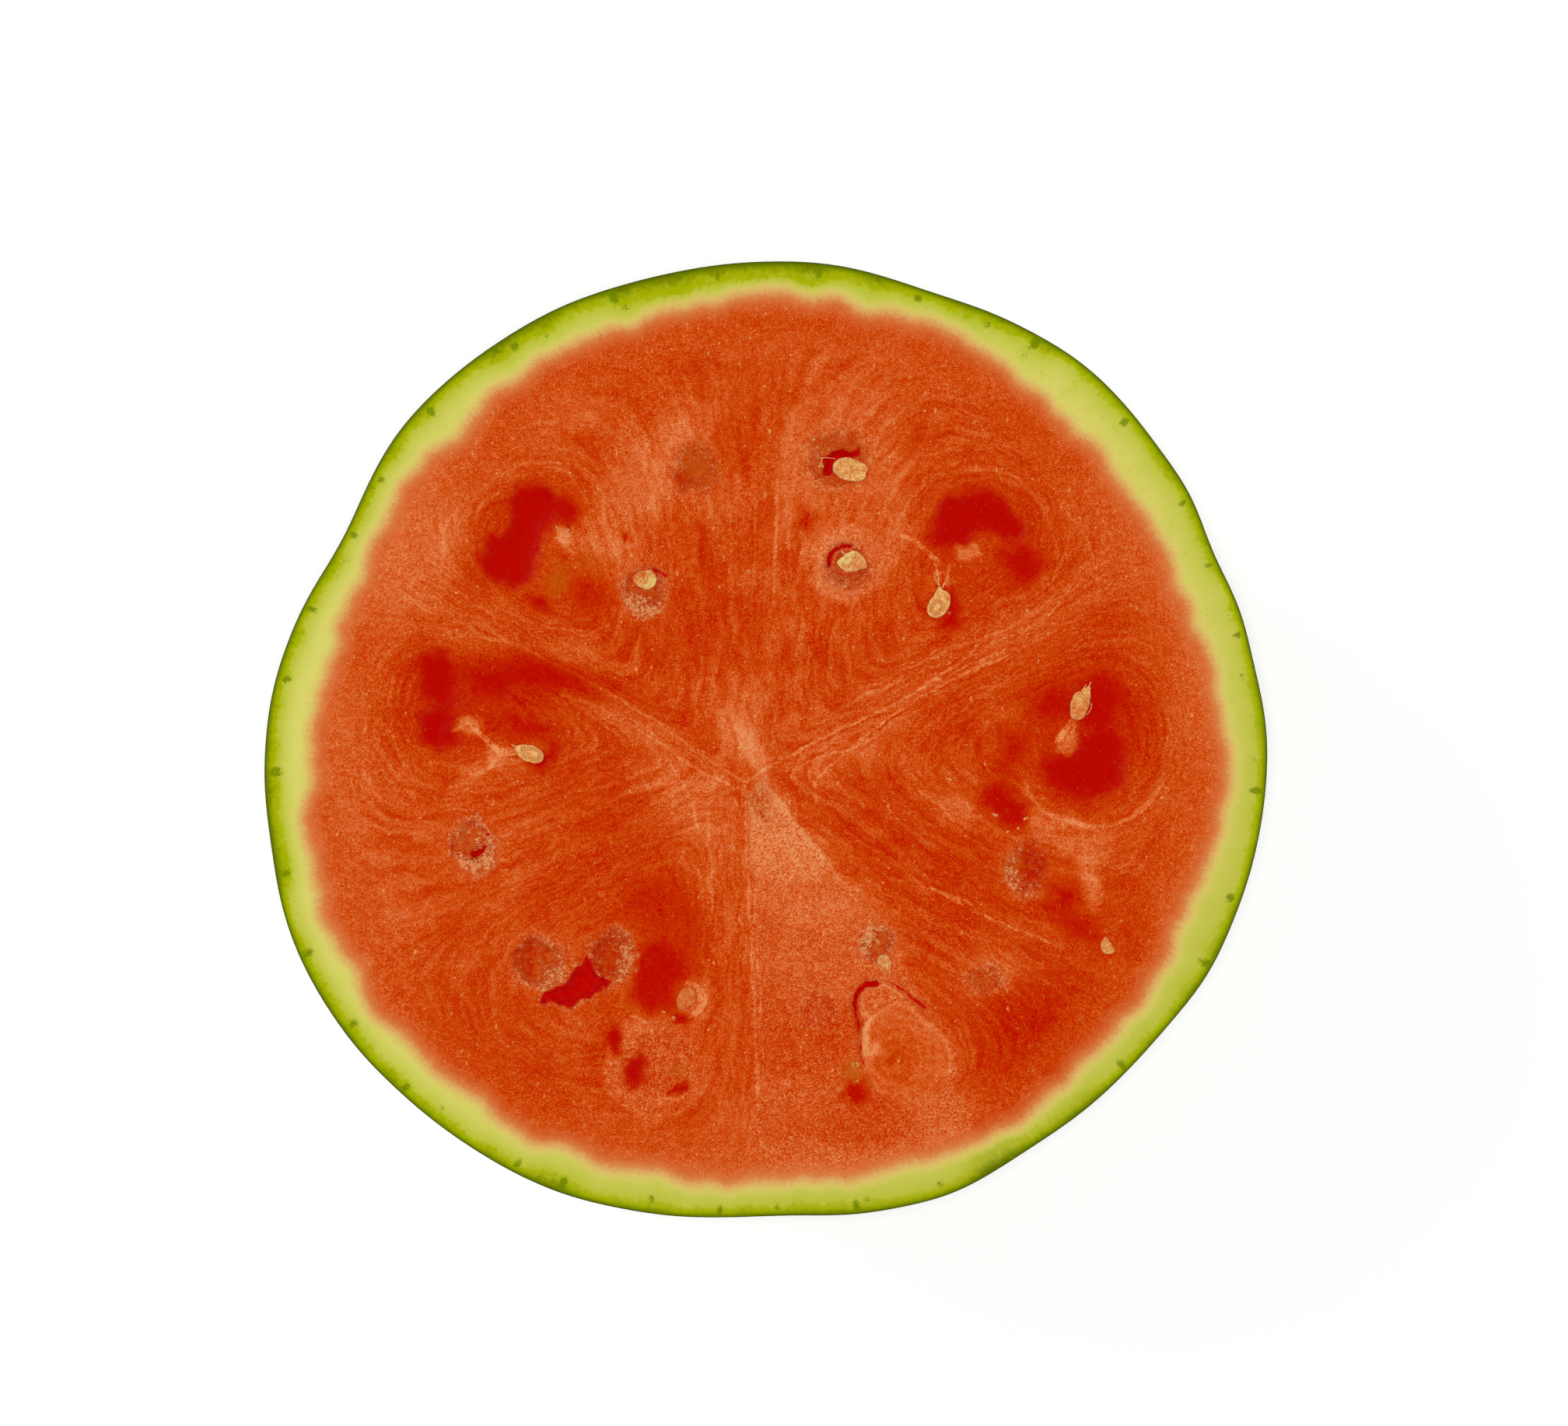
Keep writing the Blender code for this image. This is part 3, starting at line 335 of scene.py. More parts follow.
# Seams and fibres that show as lines: points, half width, tone, strength.
LINES = (
    # the three seams of the fruit
    (((-4.3, -8.9), (-4, -22), (-3.2, -36.7), (-2.4, -54.5), (-1.6, -73.8), (-0.8, -87.3)),
     0.32, 0.72, 0.7),
    (((-2.6, -30), (-1.6, -46), (-0.9, -60), (-0.2, -76)), 0.22, 0.62, 0.6),
    (((-4.3, -8.9), (1.6, -5), (7.8, -1.7), (21.6, 5.1), (33.7, 11.3), (47, 17.5), (58, 20.8)),
     0.3, 0.76, 0.8),
    (((-4.3, -8.9), (-13, -3.2), (-24, 4.6), (-34, 10.6), (-45.3, 16.6), (-57, 22.4)), 0.34, 0.66, 0.7),
    (((-5, -10.4), (-13.6, -6.4), (-24, 1), (-34, 6.6), (-42, 9)), 0.34, 0.7, 0.7),
    # beside the seams
    (((9.9, -8.3), (15.9, -3.3), (21.9, 1.9), (30.8, 8), (42, 14), (53, 18.5)), 0.34, 0.72, 0.8),
    (((4, -6.6), (12, -3.4), (20, -1), (27, 3.6), (36, 8)), 0.3, 0.7, 0.6),
    (((30, 14.6), (40, 19.4), (48, 22), (58, 28)), 0.36, 0.68, 0.7),
    (((34, 12), (44, 18.6), (54, 23), (62, 29)), 0.3, 0.7, 0.7),
    (((14, 5.6), (21, 9.4), (30, 12.6)), 0.3, 0.68, 0.6),
    (((9.9, -8.3), (10.2, -12.5), (9.2, -16.5)), 0.3, 0.66, 0.5),
    (((34.5, -30.8), (41.3, -34.3), (47.9, -37.5), (53.7, -39.8), (60.3, -42.4)), 0.26, 0.84, 0.9),
    (((15, -20.6), (24.5, -25.5), (33, -30), (44, -34.2)), 0.28, 0.62, 0.5),
    (((12, -16), (22, -22.5), (32, -27)), 0.28, 0.6, 0.5),
    (((18, -28), (27, -31.5), (36, -37.5), (46, -42)), 0.28, 0.58, 0.5),
    (((-12, -14), (-11.5, -22), (-10.6, -31)), 0.34, 0.72, 0.6),
    (((-20, -4), (-15.5, -12), (-13.5, -20)), 0.3, 0.72, 0.6),
    (((2.4, 54), (2.2, 43.4), (1.6, 34), (1.4, 26.4)), 0.42, 0.68, 0.8),
    (((-2, 49.1), (-2.2, 38.2), (-3, 26.4)), 0.34, 0.64, 0.7),
    (((4.9, 46.6), (4.7, 38.8), (5.2, 33)), 0.3, 0.64, 0.6),
    (((-7.4, 48), (-7, 38), (-8.4, 28)), 0.3, 0.58, 0.5),
    (((23.5, -11.4), (25, -14), (27.4, -17)), 0.22, 0.8, 0.9),
    (((31, -10.4), (34.6, -13), (37.4, -15.4), (40, -19)), 0.26, 0.72, 0.8),
    # arcs round the lobes
    (((26.9, 43.2), (29.9, 49.1), (34.7, 53.7), (44.4, 55), (51.8, 52.9), (57.4, 45.6), (59.6, 37.4),
     (58.4, 31)), 0.34, 0.62, 0.6),
    (((27.4, 41.8), (30.6, 40.4), (33.4, 37.6), (35.4, 36.4)), 0.5, 0.74, 0.8),
    (((60, 48), (64.6, 43), (67.2, 36), (68, 29)), 0.36, 0.62, 0.6),
    (((55.4, 43), (56.8, 38), (56.6, 33)), 0.26, 0.56, 0.5),
    (((64, 52), (68.4, 46), (71.4, 38)), 0.3, 0.64, 0.5),
    (((-66, 38), (-65.5, 43.6), (-62.8, 47.6), (-58, 51.4), (-52.3, 55), (-44.4, 56.6), (-38.5, 56)),
     0.34, 0.66, 0.6),
    (((-62.4, 40), (-61, 45.4), (-56.4, 49.8)), 0.26, 0.6, 0.5),
    (((-60, 30), (-58.4, 27), (-54, 24.4)), 0.26, 0.6, 0.5),
    (((-36, 54.6), (-33.4, 50), (-33, 44)), 0.36, 0.66, 0.6),
    (((-56, 27.4), (-48, 24), (-40, 22.4), (-30, 23.4)), 0.3, 0.6, 0.6),
    (((-50, 23.6), (-42, 20.8), (-34, 20)), 0.26, 0.6, 0.6),
    (((-76, 14), (-76.6, 5), (-74.6, -4), (-69, -10.5)), 0.36, 0.6, 0.6),
    (((-72.6, 12), (-73, 4.6), (-71.4, -2.4)), 0.28, 0.52, 0.5),
    (((-70, 19.5), (-63, 21), (-56, 20.6), (-46, 17.4)), 0.3, 0.58, 0.6),
    (((53, -8.5), (54.6, -12.4), (59.5, -16), (68, -17.8), (76, -15), (82, -8)), 0.45, 0.68, 0.8),
    (((76.4, 8), (77.6, 0), (75.6, -7), (71, -12)), 0.3, 0.52, 0.6),
    (((-53.6, -46), (-52, -41.6), (-48, -38.8)), 0.4, 0.66, 0.6),
    (((-27.6, -56.6), (-24.2, -58.4), (-22.8, -62)), 0.4, 0.74, 0.8),
    (((-34, -70), (-29, -75), (-21, -77), (-13, -74)), 0.36, 0.6, 0.6),
    (((-20.8, -72.6), (-18.2, -73.8), (-15.6, -71.8)), 0.3, 0.72, 0.7),
    # stalk tissue by the seeds
    (((-60, 2.4), (-57.5, 0.4), (-55.4, -1.6), (-54.6, -2.8)), 0.55, 0.8, 0.9),
    (((-60.6, -7.6), (-57.4, -6.4), (-55, -4)), 0.5, 0.7, 0.7), (((-62, 2.6), (-64.6, 1.6)), 0.3, 0.9, 0.9),
    (((34.2, 36.6), (35, 34.8), (35.3, 33), (35.5, 31.6)), 0.3, 0.86, 0.9),
    (((37.6, 36), (37.4, 34), (37, 31.4)), 0.28, 0.84, 0.8), (((34.8, 34.2), (37.6, 34)), 0.24, 0.8, 0.8),
    (((35, 32.8), (37.4, 32.6)), 0.22, 0.84, 0.8), (((11.3, 57.5), (16.4, 57.7)), 0.14, 0.8, 0.9),
    (((63, 4.4), (61.8, 2.4), (60.4, 0.6), (59.2, -0.6)), 0.7, 0.84, 0.9),
    (((63.4, 3.8), (62.4, 1.2)), 0.5, 0.8, 0.8), (((-55, -2.8), (-53, -2.2), (-50.8, -2.4)), 0.8, 0.8, 0.9),
    (((-16.4, -49.6), (-13.9, -50.6), (-12.6, -53), (-13.4, -55.2), (-15.6, -56.8)), 0.6, 0.74, 0.8),
)

# The torn slab in the lower right lobe, the curl of its left edge, along which a painted highlight is laid,
# and the chip broken off beside it.
SLAB = (
    (19.6, -59.2), (20.8, -57), (23.8, -54.6), (26.8, -53.2), (29.2, -53.8), (31.2, -55.8), (33.6, -58),
    (35.4, -59.2), (37.2, -61.4), (38.4, -64.4), (38.2, -67.9), (37, -70.6), (34.4, -73.4), (30, -75),
    (25.4, -74.2), (22, -71.4), (20, -66), (19.4, -62.4),
)
SLAB_CURL_HIGHLIGHT = ((21, -56.4), (19.9, -60), (20.4, -63.2), (22.6, -63.8))
SLAB_CHIP = (
    (19.2, -55.8), (19.3, -52.4), (21.2, -50.4), (24.4, -50), (26.6, -50.8), (28.6, -52.6), (26.6, -53),
    (23.2, -54.4), (20.2, -57.2),
)

# Open cracks, painted dark inside as painted shade: points, half width at each end, depth.
CRACKS = (
    (((22.4, -49.9), (20.4, -50.3), (19, -51.4), (18.2, -53.4), (18.5, -56.2), (19, -59.1), (19.3, -63.6)),
     0.72, 0.14, 2.4),
    (((24.8, -49.4), (27.2, -50.7), (29.6, -52.6), (32.4, -54.8)), 0.16, 0.42, 1.2),
    (((19.4, -62.8), (19.4, -65.2), (20, -66.2)), 0.18, 0.22, 1),
    (((12.9, 35.6), (13.2, 37.8), (15, 39.3), (17.6, 39.6)), 0.55, 0.4, 2),
    (((14.2, 33.9), (17.4, 33.7), (20.8, 34.2)), 0.22, 0.18, 1.2),
    (((-1.4, -14.4), (-0.2, -16.4), (0.8, -18.2)), 0.28, 0.15, 0.8),
    (((-22.9, 34.7), (-21.6, 34.2), (-20.4, 33.4)), 0.42, 0.3, 1.4),
    (((-59.6, -23.5), (-58, -22.8), (-57.2, -21.8)), 0.8, 0.3, 2.2),
    (((-57.4, -19.6), (-56.6, -19.4)), 0.25, 0.3, 0.8), (((-40.4, 43.8), (-40, 42.8)), 0.34, 0.34, 1.2),
    (((25.2, -44.6), (25.4, -48.4)), 0.16, 0.12, 0.8), (((15.2, 32.7), (15.8, 32.4)), 0.3, 0.2, 0.8),
    (((18.2, 32.6), (19.4, 32.9)), 0.25, 0.2, 0.8),
)

# The pale, torn wedge below the heart and the duller flesh that goes on from it.
WEDGE = (
    (-3.9, -13), (-2.6, -9), (0, -8.6), (2.5, -10.6), (4.9, -13.4), (5.6, -15.6), (8.4, -19), (11.6, -22.6),
    (12.8, -25.4), (11, -29), (4, -30), (-1.6, -30), (-3.4, -24),
)
DULL_FLESH = (
    (-3.6, -16), (2.4, -12), (12.6, -24.4), (16.4, -29.6), (19.4, -30.2), (22.2, -35.8), (24.8, -39),
    (27.8, -41.4), (28.6, -47.6), (32.4, -53.6), (35, -57), (37.8, -60.4), (39, -66), (38.8, -70),
    (41, -76), (45, -84), (30, -95), (0, -98), (-1.6, -80), (-2.4, -56),
)

# The seeds' outlines in millimetres on the cut face, each wound round the seed.
SEED_OUTLINES = {
    "seed_1_upper": (
        (13.6, 55.3), (13.8, 56.5), (14.6, 57.2), (16.4, 57.7), (18, 57.2), (19.5, 56.6), (20.5, 56.2),
        (21, 55.2), (20.4, 54.6), (20.5, 53.7), (19.7, 52.9), (18.7, 52.8), (17.4, 52.9), (15.4, 53.4),
        (14.1, 54.3),
    ),
    "seed_2_upper": (
        (14.4, 36.4), (15.3, 37.2), (16.9, 38.1), (18.3, 38.6), (19.9, 37.2), (20.8, 35.3), (19.4, 34.8),
        (17.5, 34.3), (15.6, 34.8),
    ),
    "seed_3_upper_right": (
        (35.4, 31.7), (36, 30.6), (37.5, 29.8), (37.7, 28.4), (37, 26.4), (36, 25.2), (34.6, 24.8),
        (33.3, 25.3), (32.9, 26.5), (33.4, 28), (34.3, 29.3), (35, 30.6),
    ),
    "seed_4_right": (
        (66.2, 11.5), (66.3, 9.7), (66.2, 8), (65.7, 6.1), (64.6, 4.1), (63.3, 3.9), (62.2, 4.6),
        (62.3, 6.3), (62.6, 8.3), (63.4, 9.6), (64.5, 9.8), (65.1, 11), (65.5, 10.2),
    ),
    "seed_5_lower_right": (
        (69.5, -40.1), (70.1, -41.2), (70.7, -42.3), (71.4, -43.4), (70.9, -43.7), (69.9, -43.9),
        (69, -43.5), (68.4, -42.3), (68.8, -41.1),
    ),
    "seed_6_lower": (
        (22.9, -44.6), (23.9, -43.9), (24.8, -44.4), (25.3, -45.8), (25.2, -47.8), (24.5, -48.2),
        (23.5, -47.2), (22.8, -45.8),
    ),
    "seed_7_lower_left": (
        (-16.9, -51), (-15.5, -50.7), (-14.4, -51.6), (-14.3, -53), (-15.3, -54.4), (-16.7, -55.2),
        (-17.6, -55.4), (-18.2, -54.4), (-18.1, -52.7),
    ),
    "seed_8_left": (
        (-51.4, -1.7), (-50.4, -1.1), (-48.6, -1.2), (-46.7, -1.8), (-45.4, -3), (-45.7, -4.5),
        (-46.8, -4.9), (-48.3, -4.6), (-49.9, -3.9), (-51, -2.8),
    ),
    "seed_9_upper_left": (
        (-27.2, 33.2), (-26.4, 34.1), (-24.7, 34.6), (-23.3, 34.5), (-22.4, 33.2), (-22.5, 31.8),
        (-23.6, 30.8), (-25.2, 30.7), (-26.2, 31.4), (-26.9, 32.2),
    ),
}

# How crumpled a seed's coat is; how pale and crumbly, or below 0 how far under a film of flesh, on its near
# and far side, and where the near side faces; how far open flesh lies round it (moat), which is painted
# dark as painted shade; the oval welt on its face (x, y, half length, half width, turn) and how dark the
# welt is (mark).
Seed = namedtuple("Seed", "crumple near_side far_side facing moat welt mark")
SEEDS = {
    "seed_1_upper": Seed(0.04, 0.05, -0.10, 180, 0.7, (16.0, 55.5, 1.7, 1.5, -10), 0.5),
    "seed_2_upper": Seed(0.60, 1.00, -0.50, 125, 0.8, (18.0, 36.0, 1, 1, 0), 0.0),
    "seed_3_upper_right": Seed(0.04, 0.10, 0.00, 90, 0.7, (34.8, 26.9, 1.45, 1.0, 66), 1.0),
    "seed_4_right": Seed(0.12, 0.10, -0.60, 80, 0.8, (64.0, 7.0, 2.2, 1.0, 70), 0.5),
    "seed_5_lower_right": Seed(0.05, 0.10, -0.50, -70, 0.2, (69.9, -42.6, 1.1, 0.6, -55), 0.4),
    "seed_6_lower": Seed(0.55, 0.55, -0.75, 110, 0.1, (24.0, -46.0, 1, 1, 0), 0.0),
    "seed_7_lower_left": Seed(0.10, -1.00, -1.00, 0, 0.1, (-16.0, -53.0, 1, 1, 0), 0.0),
    "seed_8_left": Seed(0.05, 0.10, -0.10, 20, 0.6, (-47.9, -2.9, 1.9, 1.1, -18), 0.9),
    "seed_9_upper_left": Seed(0.45, 0.95, -0.80, -40, 0.3, (-24.5, 32.5, 1, 1, 0), 0.0),
}

# Threads of stalk and torn coat: points on the cut face, radius at each end.
STRANDS = (
    (((11, 57.5), (12.4, 57.6), (14.2, 57.4)), 0.1, 0.07),
    (((10.8, 55.6), (11.3, 56.5), (11.5, 57.4)), 0.2, 0.08),
    (((15.5, 38.6), (16.2, 37.4), (17.2, 36.4)), 0.18, 0.12),
    (((18.6, 38.4), (17.8, 37.2), (17.2, 35.6)), 0.22, 0.14),
    (((19.8, 36.6), (18.6, 36), (17.4, 36)), 0.16, 0.12),
    (((35.3, 33.7), (35.2, 32.6), (35.4, 31.4)), 0.09, 0.16),
    (((37.1, 33.7), (36.7, 32.4), (36.1, 31)), 0.09, 0.14),
    (((34.4, 34.4), (34.6, 32.8), (35.2, 31.6)), 0.07, 0.11),
    (((65.4, 9.6), (66, 10.8), (66.5, 11.9)), 0.26, 0.06),
    (((64.6, 9.4), (65.1, 10.6), (65.5, 11.3)), 0.22, 0.06),
    (((66.6, 7.4), (66.4, 6.2), (65.6, 5)), 0.08, 0.08),
    (((23.1, -44.7), (23.4, -45.7), (24, -46.7)), 0.22, 0.12),
    (((24.3, -44), (25.4, -45.6), (25.2, -48.2)), 0.2, 0.14),
    (((-52, -1.1), (-51.5, -1.3), (-50.9, -1.7)), 0.1, 0.14),
    (((-52.4, -3.2), (-51.7, -3.1), (-50.8, -2.8)), 0.1, 0.14),
    (((-42.9, 43.6), (-42.4, 42.8)), 0.18, 0.12), (((-40.3, 43), (-40.8, 42.2)), 0.2, 0.14),
    (((-39.6, 41.8), (-40.9, 41.4)), 0.12, 0.22), (((9.2, -58.9), (9.8, -59.2)), 0.14, 0.1),
    (((33, -80.6), (33.5, -79.9), (33.6, -79.4)), 0.14, 0.12), (((34.2, -80.2), (34.5, -79.4)), 0.12, 0.1),
    (((53, -16.4), (53.6, -15.9)), 0.12, 0.1), (((46.4, -15.1), (47.2, -15.7)), 0.12, 0.1),
    (((-19, -56.6), (-18.7, -57.3)), 0.12, 0.1),
)


# ---------------------------------------------------------------- shader arithmetic


class Wire:
    """A socket's value. Plain arithmetic on it adds the Math nodes."""

    def __init__(self, tree, socket):
        self.tree = tree
        self.socket = socket

    def math(self, operation, first, second=None, clamp=False):
        node = self.tree.nodes.new("ShaderNodeMath")
        node.operation = operation
        node.use_clamp = clamp
        for slot, value in zip(node.inputs, (first, second)):
            if isinstance(value, Wire):
                self.tree.links.new(value.socket, slot)
            elif value is not None:
                slot.default_value = value
        return Wire(self.tree, node.outputs[0])

    def __add__(self, other):
        return self.math("ADD", self, other)

    def __sub__(self, other):
        return self.math("SUBTRACT", self, other)

    def __rsub__(self, other):
        return self.math("SUBTRACT", other, self)

    def __mul__(self, other):
        return self.math("MULTIPLY", self, other)

    def __truediv__(self, other):
        return self.math("DIVIDE", self, other)

    __radd__ = __add__
    __rmul__ = __mul__

    def clamped(self):
        return self.math("ADD", self, 0.0, clamp=True)

    def abs(self):
        return self.math("ABSOLUTE", self)

    def above(self, edge, soft):
        """0 below edge, 1 above edge + soft."""
        return ((self - edge) / soft).clamped()


class Finish:
    """A material under construction."""

    def __init__(self, name):
        self.material = bpy.data.materials.new(name)
        self.material.use_nodes = True
        self.tree = self.material.node_tree
        self.shader = self.tree.nodes["Principled BSDF"]

    def add(self, kind, settings=None, inputs=None, output=0):
        """One node: its settings first, then its sockets' values or links. Returns an output."""
        node = self.tree.nodes.new(kind)
        for name, value in (settings or {}).items():
            if name == "stops":
                ramp = node.color_ramp
                while len(ramp.elements) < len(value):
                    ramp.elements.new(0.5)
                for stop, (place, colour) in zip(ramp.elements, value):
                    stop.position = place
                    stop.color = colour
            else:
                setattr(node, name, value)
        for name, value in (inputs or {}).items():
            self.feed(node.inputs[name], value)
        return Wire(self.tree, node.outputs[output])

    def feed(self, slot, value):
        if isinstance(value, Wire):
            self.tree.links.new(value.socket, slot)
        else:
            slot.default_value = value

    def vector(self, operation, inputs):
        return self.add("ShaderNodeVectorMath", {"operation": operation}, inputs)

    def place(self):
        """Object coordinates in millimetres."""
        where = self.add("ShaderNodeTexCoord", output="Object")
        return self.vector("SCALE", {0: where, "Scale": 1 / MM})

    def parts(self, vector):
        node = self.tree.nodes.new("ShaderNodeSeparateXYZ")
        self.feed(node.inputs[0], vector)
        return [Wire(self.tree, out) for out in node.outputs]

    def join(self, x, y, z):
        return self.add("ShaderNodeCombineXYZ", None, {"X": x, "Y": y, "Z": z})

    def painted(self, name):
        """A value painted on the mesh's points."""
        return self.add("ShaderNodeAttribute", {"attribute_name": name}, output="Fac")

    def noise(self, place, scale, detail, roughness):
        inputs = {"Vector": place, "Scale": scale, "Detail": detail, "Roughness": roughness}
        return self.add("ShaderNodeTexNoise", None, inputs, "Fac")

    def ripple(self, place, scale, detail, roughness):
        """Noise about 0 instead of about a half."""
        return self.noise(place, scale, detail, roughness) - 0.5

    def cells(self, place, scale, output="Distance", feature="F1"):
        inputs = {"Vector": place, "Scale": scale}
        return self.add("ShaderNodeTexVoronoi", {"feature": feature}, inputs, output)

    def ramp(self, value, stops):
        coloured = [(place, rgb(*colour)) for place, colour in stops]
        return self.add("ShaderNodeValToRGB", {"stops": coloured}, {"Fac": value})

    def mix(self, share, first, second):
        settings = {"data_type": "RGBA"}
        return self.add("ShaderNodeMix", settings, {0: share, 6: first, 7: second}, 2)

    def bump(self, height, strength, distance):
        inputs = {"Height": height, "Strength": strength, "Distance": distance}
        return self.add("ShaderNodeBump", None, inputs)

    def finish(self, **sockets):
        for name, value in sockets.items():
            self.feed(self.shader.inputs[name.replace("_", " ")], value)
        return self.material


def rgb(red, green, blue):
    """A colour as it looks under the studio light, 0 to 255, made a linear base colour."""
    def linear(value):
        value /= 255
        low = value <= 0.04045
        return (value / 12.92 if low else ((value + 0.055) / 1.055) ** 2.4) / STUDIO

    return (linear(red), linear(green), linear(blue), 1.0)


# ---------------------------------------------------------------- lines, ovals and noise


def smooth(low, high, value):
    share = np.clip((value - low) / (high - low), 0, 1)
    return share * share * (3 - 2 * share)


def oval(x, y, middle_x, middle_y, half_length, half_width, turn):
    """1 on the oval's edge, 0 in its middle."""
    angle = math.radians(turn)
    along = (x - middle_x) * math.cos(angle) + (y - middle_y) * math.sin(angle)
    across = (y - middle_y) * math.cos(angle) - (x - middle_x) * math.sin(angle)
    return np.hypot(along / half_length, across / half_width)


def with_ends(rows):
    """The rows with one more at each end, straight on from the last two."""
    return np.concatenate([[2 * rows[0] - rows[1]], rows, [2 * rows[-1] - rows[-2]]])


def bend(a, b, c, d, t):
    """The smooth curve from b to c at share t, with a before it and d after it."""
    return (2 * b + (c - a) * t + (2 * a - 5 * b + 4 * c - d) * t**2 + (3 * b - a - 3 * c + d) * t**3) / 2


def curve_through(points, steps=8):
    """Points on a smooth open curve through the given ones."""
    given = np.array(points, float)
    if len(given) < 3:
        return given
    padded = with_ends(given)
    t = np.linspace(0, 1, steps, endpoint=False)[:, None]
    made = [bend(a, b, c, d, t) for a, b, c, d in zip(padded, padded[1:], padded[2:], padded[3:])]
    return np.vstack(made + [given[-1:]])


def to_stretch(x, y, a, b):
    """Distance to the straight stretch from a to b, and the share of it at which it is nearest."""
    edge = b - a
    t = np.clip(((x - a[0]) * edge[0] + (y - a[1]) * edge[1]) / (edge @ edge), 0, 1)
    return np.hypot(x - a[0] - t * edge[0], y - a[1] - t * edge[1]), t


def near_line(x, y, points):
    """Distance to a line through the points, and the share of its length at which it is nearest."""
    line = curve_through(points)
    steps = np.linalg.norm(np.diff(line, axis=0), axis=1)
    run = np.concatenate([[0], np.cumsum(steps)]) / steps.sum()
    best, share = np.full(len(x), FAR_OFF), np.zeros(len(x))
    close = np.ones(len(x), bool)
    for place, ends in ((x, line[:, 0]), (y, line[:, 1])):
        close &= np.abs(place - (ends.min() + ends.max()) / 2) < np.ptp(ends) / 2 + LINE_REACH
    close_x, close_y, near, at = x[close], y[close], best[close], share[close]
    for i, (a, b) in enumerate(zip(line, line[1:])):
        gap, t = to_stretch(close_x, close_y, a, b)
        closer = gap < near
        near[closer] = gap[closer]
        at[closer] = (run[i] + t * (run[i + 1] - run[i]))[closer]
    best[close], share[close] = near, at
    return best, share


def inside(x, y, polygon):
    """Distance into a polygon, negative outside it."""
    corners = np.array(polygon, float)
    gap = np.full(len(x), FAR_OFF)
    within = np.zeros(len(x), bool)
    for a, b in zip(corners, np.roll(corners, -1, axis=0)):
        gap = np.minimum(gap, to_stretch(x, y, a, b)[0])
        edge = b - a
        crosses = (a[1] > y) != (b[1] > y)
        with np.errstate(divide="ignore", invalid="ignore"):
            within ^= crosses & (x < a[0] + (y - a[1]) / edge[1] * edge[0])
    return np.where(within, gap, -gap)


def rough(x, y, size, seed, octaves=2):
    """Smooth noise from -1 to 1, with lumps about this many millimetres across."""
    places = zip((x / size).tolist(), (y / size).tolist())
    return np.array([noise.fractal((a, b, seed), 1.0, 2.0, octaves) for a, b in places])


# ---------------------------------------------------------------- the rind's shape, from the CAD solid


def rind_rings():
    """Heights of the CAD rind's rings from the cut down, and each ring's radius at even angles."""
    points = np.array([v.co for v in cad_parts[MELON].data.vertices])
    radius = np.hypot(points[:, 0], points[:, 1])
    step = np.arctan2(points[:, 1], points[:, 0]) / TURN * RIND_FACETS
    even = np.abs(step - np.round(step)) < 1e-3
    step = np.round(step).astype(int) % RIND_FACETS
    heights, radii = [], []
    for height in sorted(set(np.round(points[:, 2], 5)), reverse=True):
        level = even & (np.abs(points[:, 2] - height) < 1e-5)
        ring = np.zeros(RIND_FACETS)
        np.maximum.at(ring, step[level], radius[level])
        if ring.min() > 0:
            heights.append(height)
            radii.append(ring)
    return np.array(heights), np.array(radii)


def round_to(ring, steps):
    """The same closed ring at more even angles, by its own waves."""
    return np.fft.irfft(np.fft.rfft(ring), steps) * steps / len(ring)


RING_HEIGHTS, RING_RADII = rind_rings()
OUTLINE = round_to(RING_RADII[0], OUTLINE_STEPS) / MM


def outline_at(angle):
    """The cut face's radius in millimetres at these angles."""
    even = np.arange(OUTLINE_STEPS + 1) / OUTLINE_STEPS * 2 * math.pi
    return np.interp(angle % TURN, even, np.append(OUTLINE, OUTLINE[0]))


def around(angle, table, column=1):
    """A table's values at these angles. Its first column is in degrees and runs once round."""
    rows = table + ((360,) + table[0][1:],)
    return np.interp(np.degrees(angle) % 360, [row[0] for row in rows], [row[column] for row in rows])


# ---------------------------------------------------------------- the cut face


def lobe_flow(x, y, angle, radius):
    """0 in each lobe's core, 1 on the seams, at the heart and at the rind: fibres follow its level lines."""
    def flesh_edge(at):
        return outline_at(at) - around(at, RIND)

    from_x, from_y = x - HEART[0], y - HEART[1]
    bearing = np.degrees(np.arctan2(from_y, from_x))
    reach = np.hypot(from_x, from_y)
    to_edge = flesh_edge(angle) - radius
    share = np.clip(reach / np.maximum(reach + to_edge, 1), 0, 1)
    flow = np.ones(len(x))
    for i, (core_x, core_y, start) in enumerate(LOBES):
        span = (LOBES[(i + 1) % len(LOBES)][2] - start) % 360
        turn = ((bearing - start + 180) % 360 - 180) / span * 2 - 1
        core_turn = math.degrees(math.atan2(core_y - HEART[1], core_x - HEART[0]))
        core_turn = ((core_turn - start) % 360) / span * 2 - 1
        core_reach = math.hypot(core_x - HEART[0], core_y - HEART[1])
        edge = float(flesh_edge(np.arctan2(core_y, core_x))) - math.hypot(core_x, core_y)
        core_share = 2 * core_reach / (core_reach + edge) - 1
        u = (turn - core_turn) / (1 - core_turn * turn)
        v = ((2 * share - 1) - core_share) / (1 - core_share * (2 * share - 1))
        here = (turn >= -1) & (turn <= 1)
        cell = np.sqrt(np.clip(1 - (1 - u**2) * (1 - v**2), 0, 1))
        flow = np.where(here, cell, flow)
    return flow


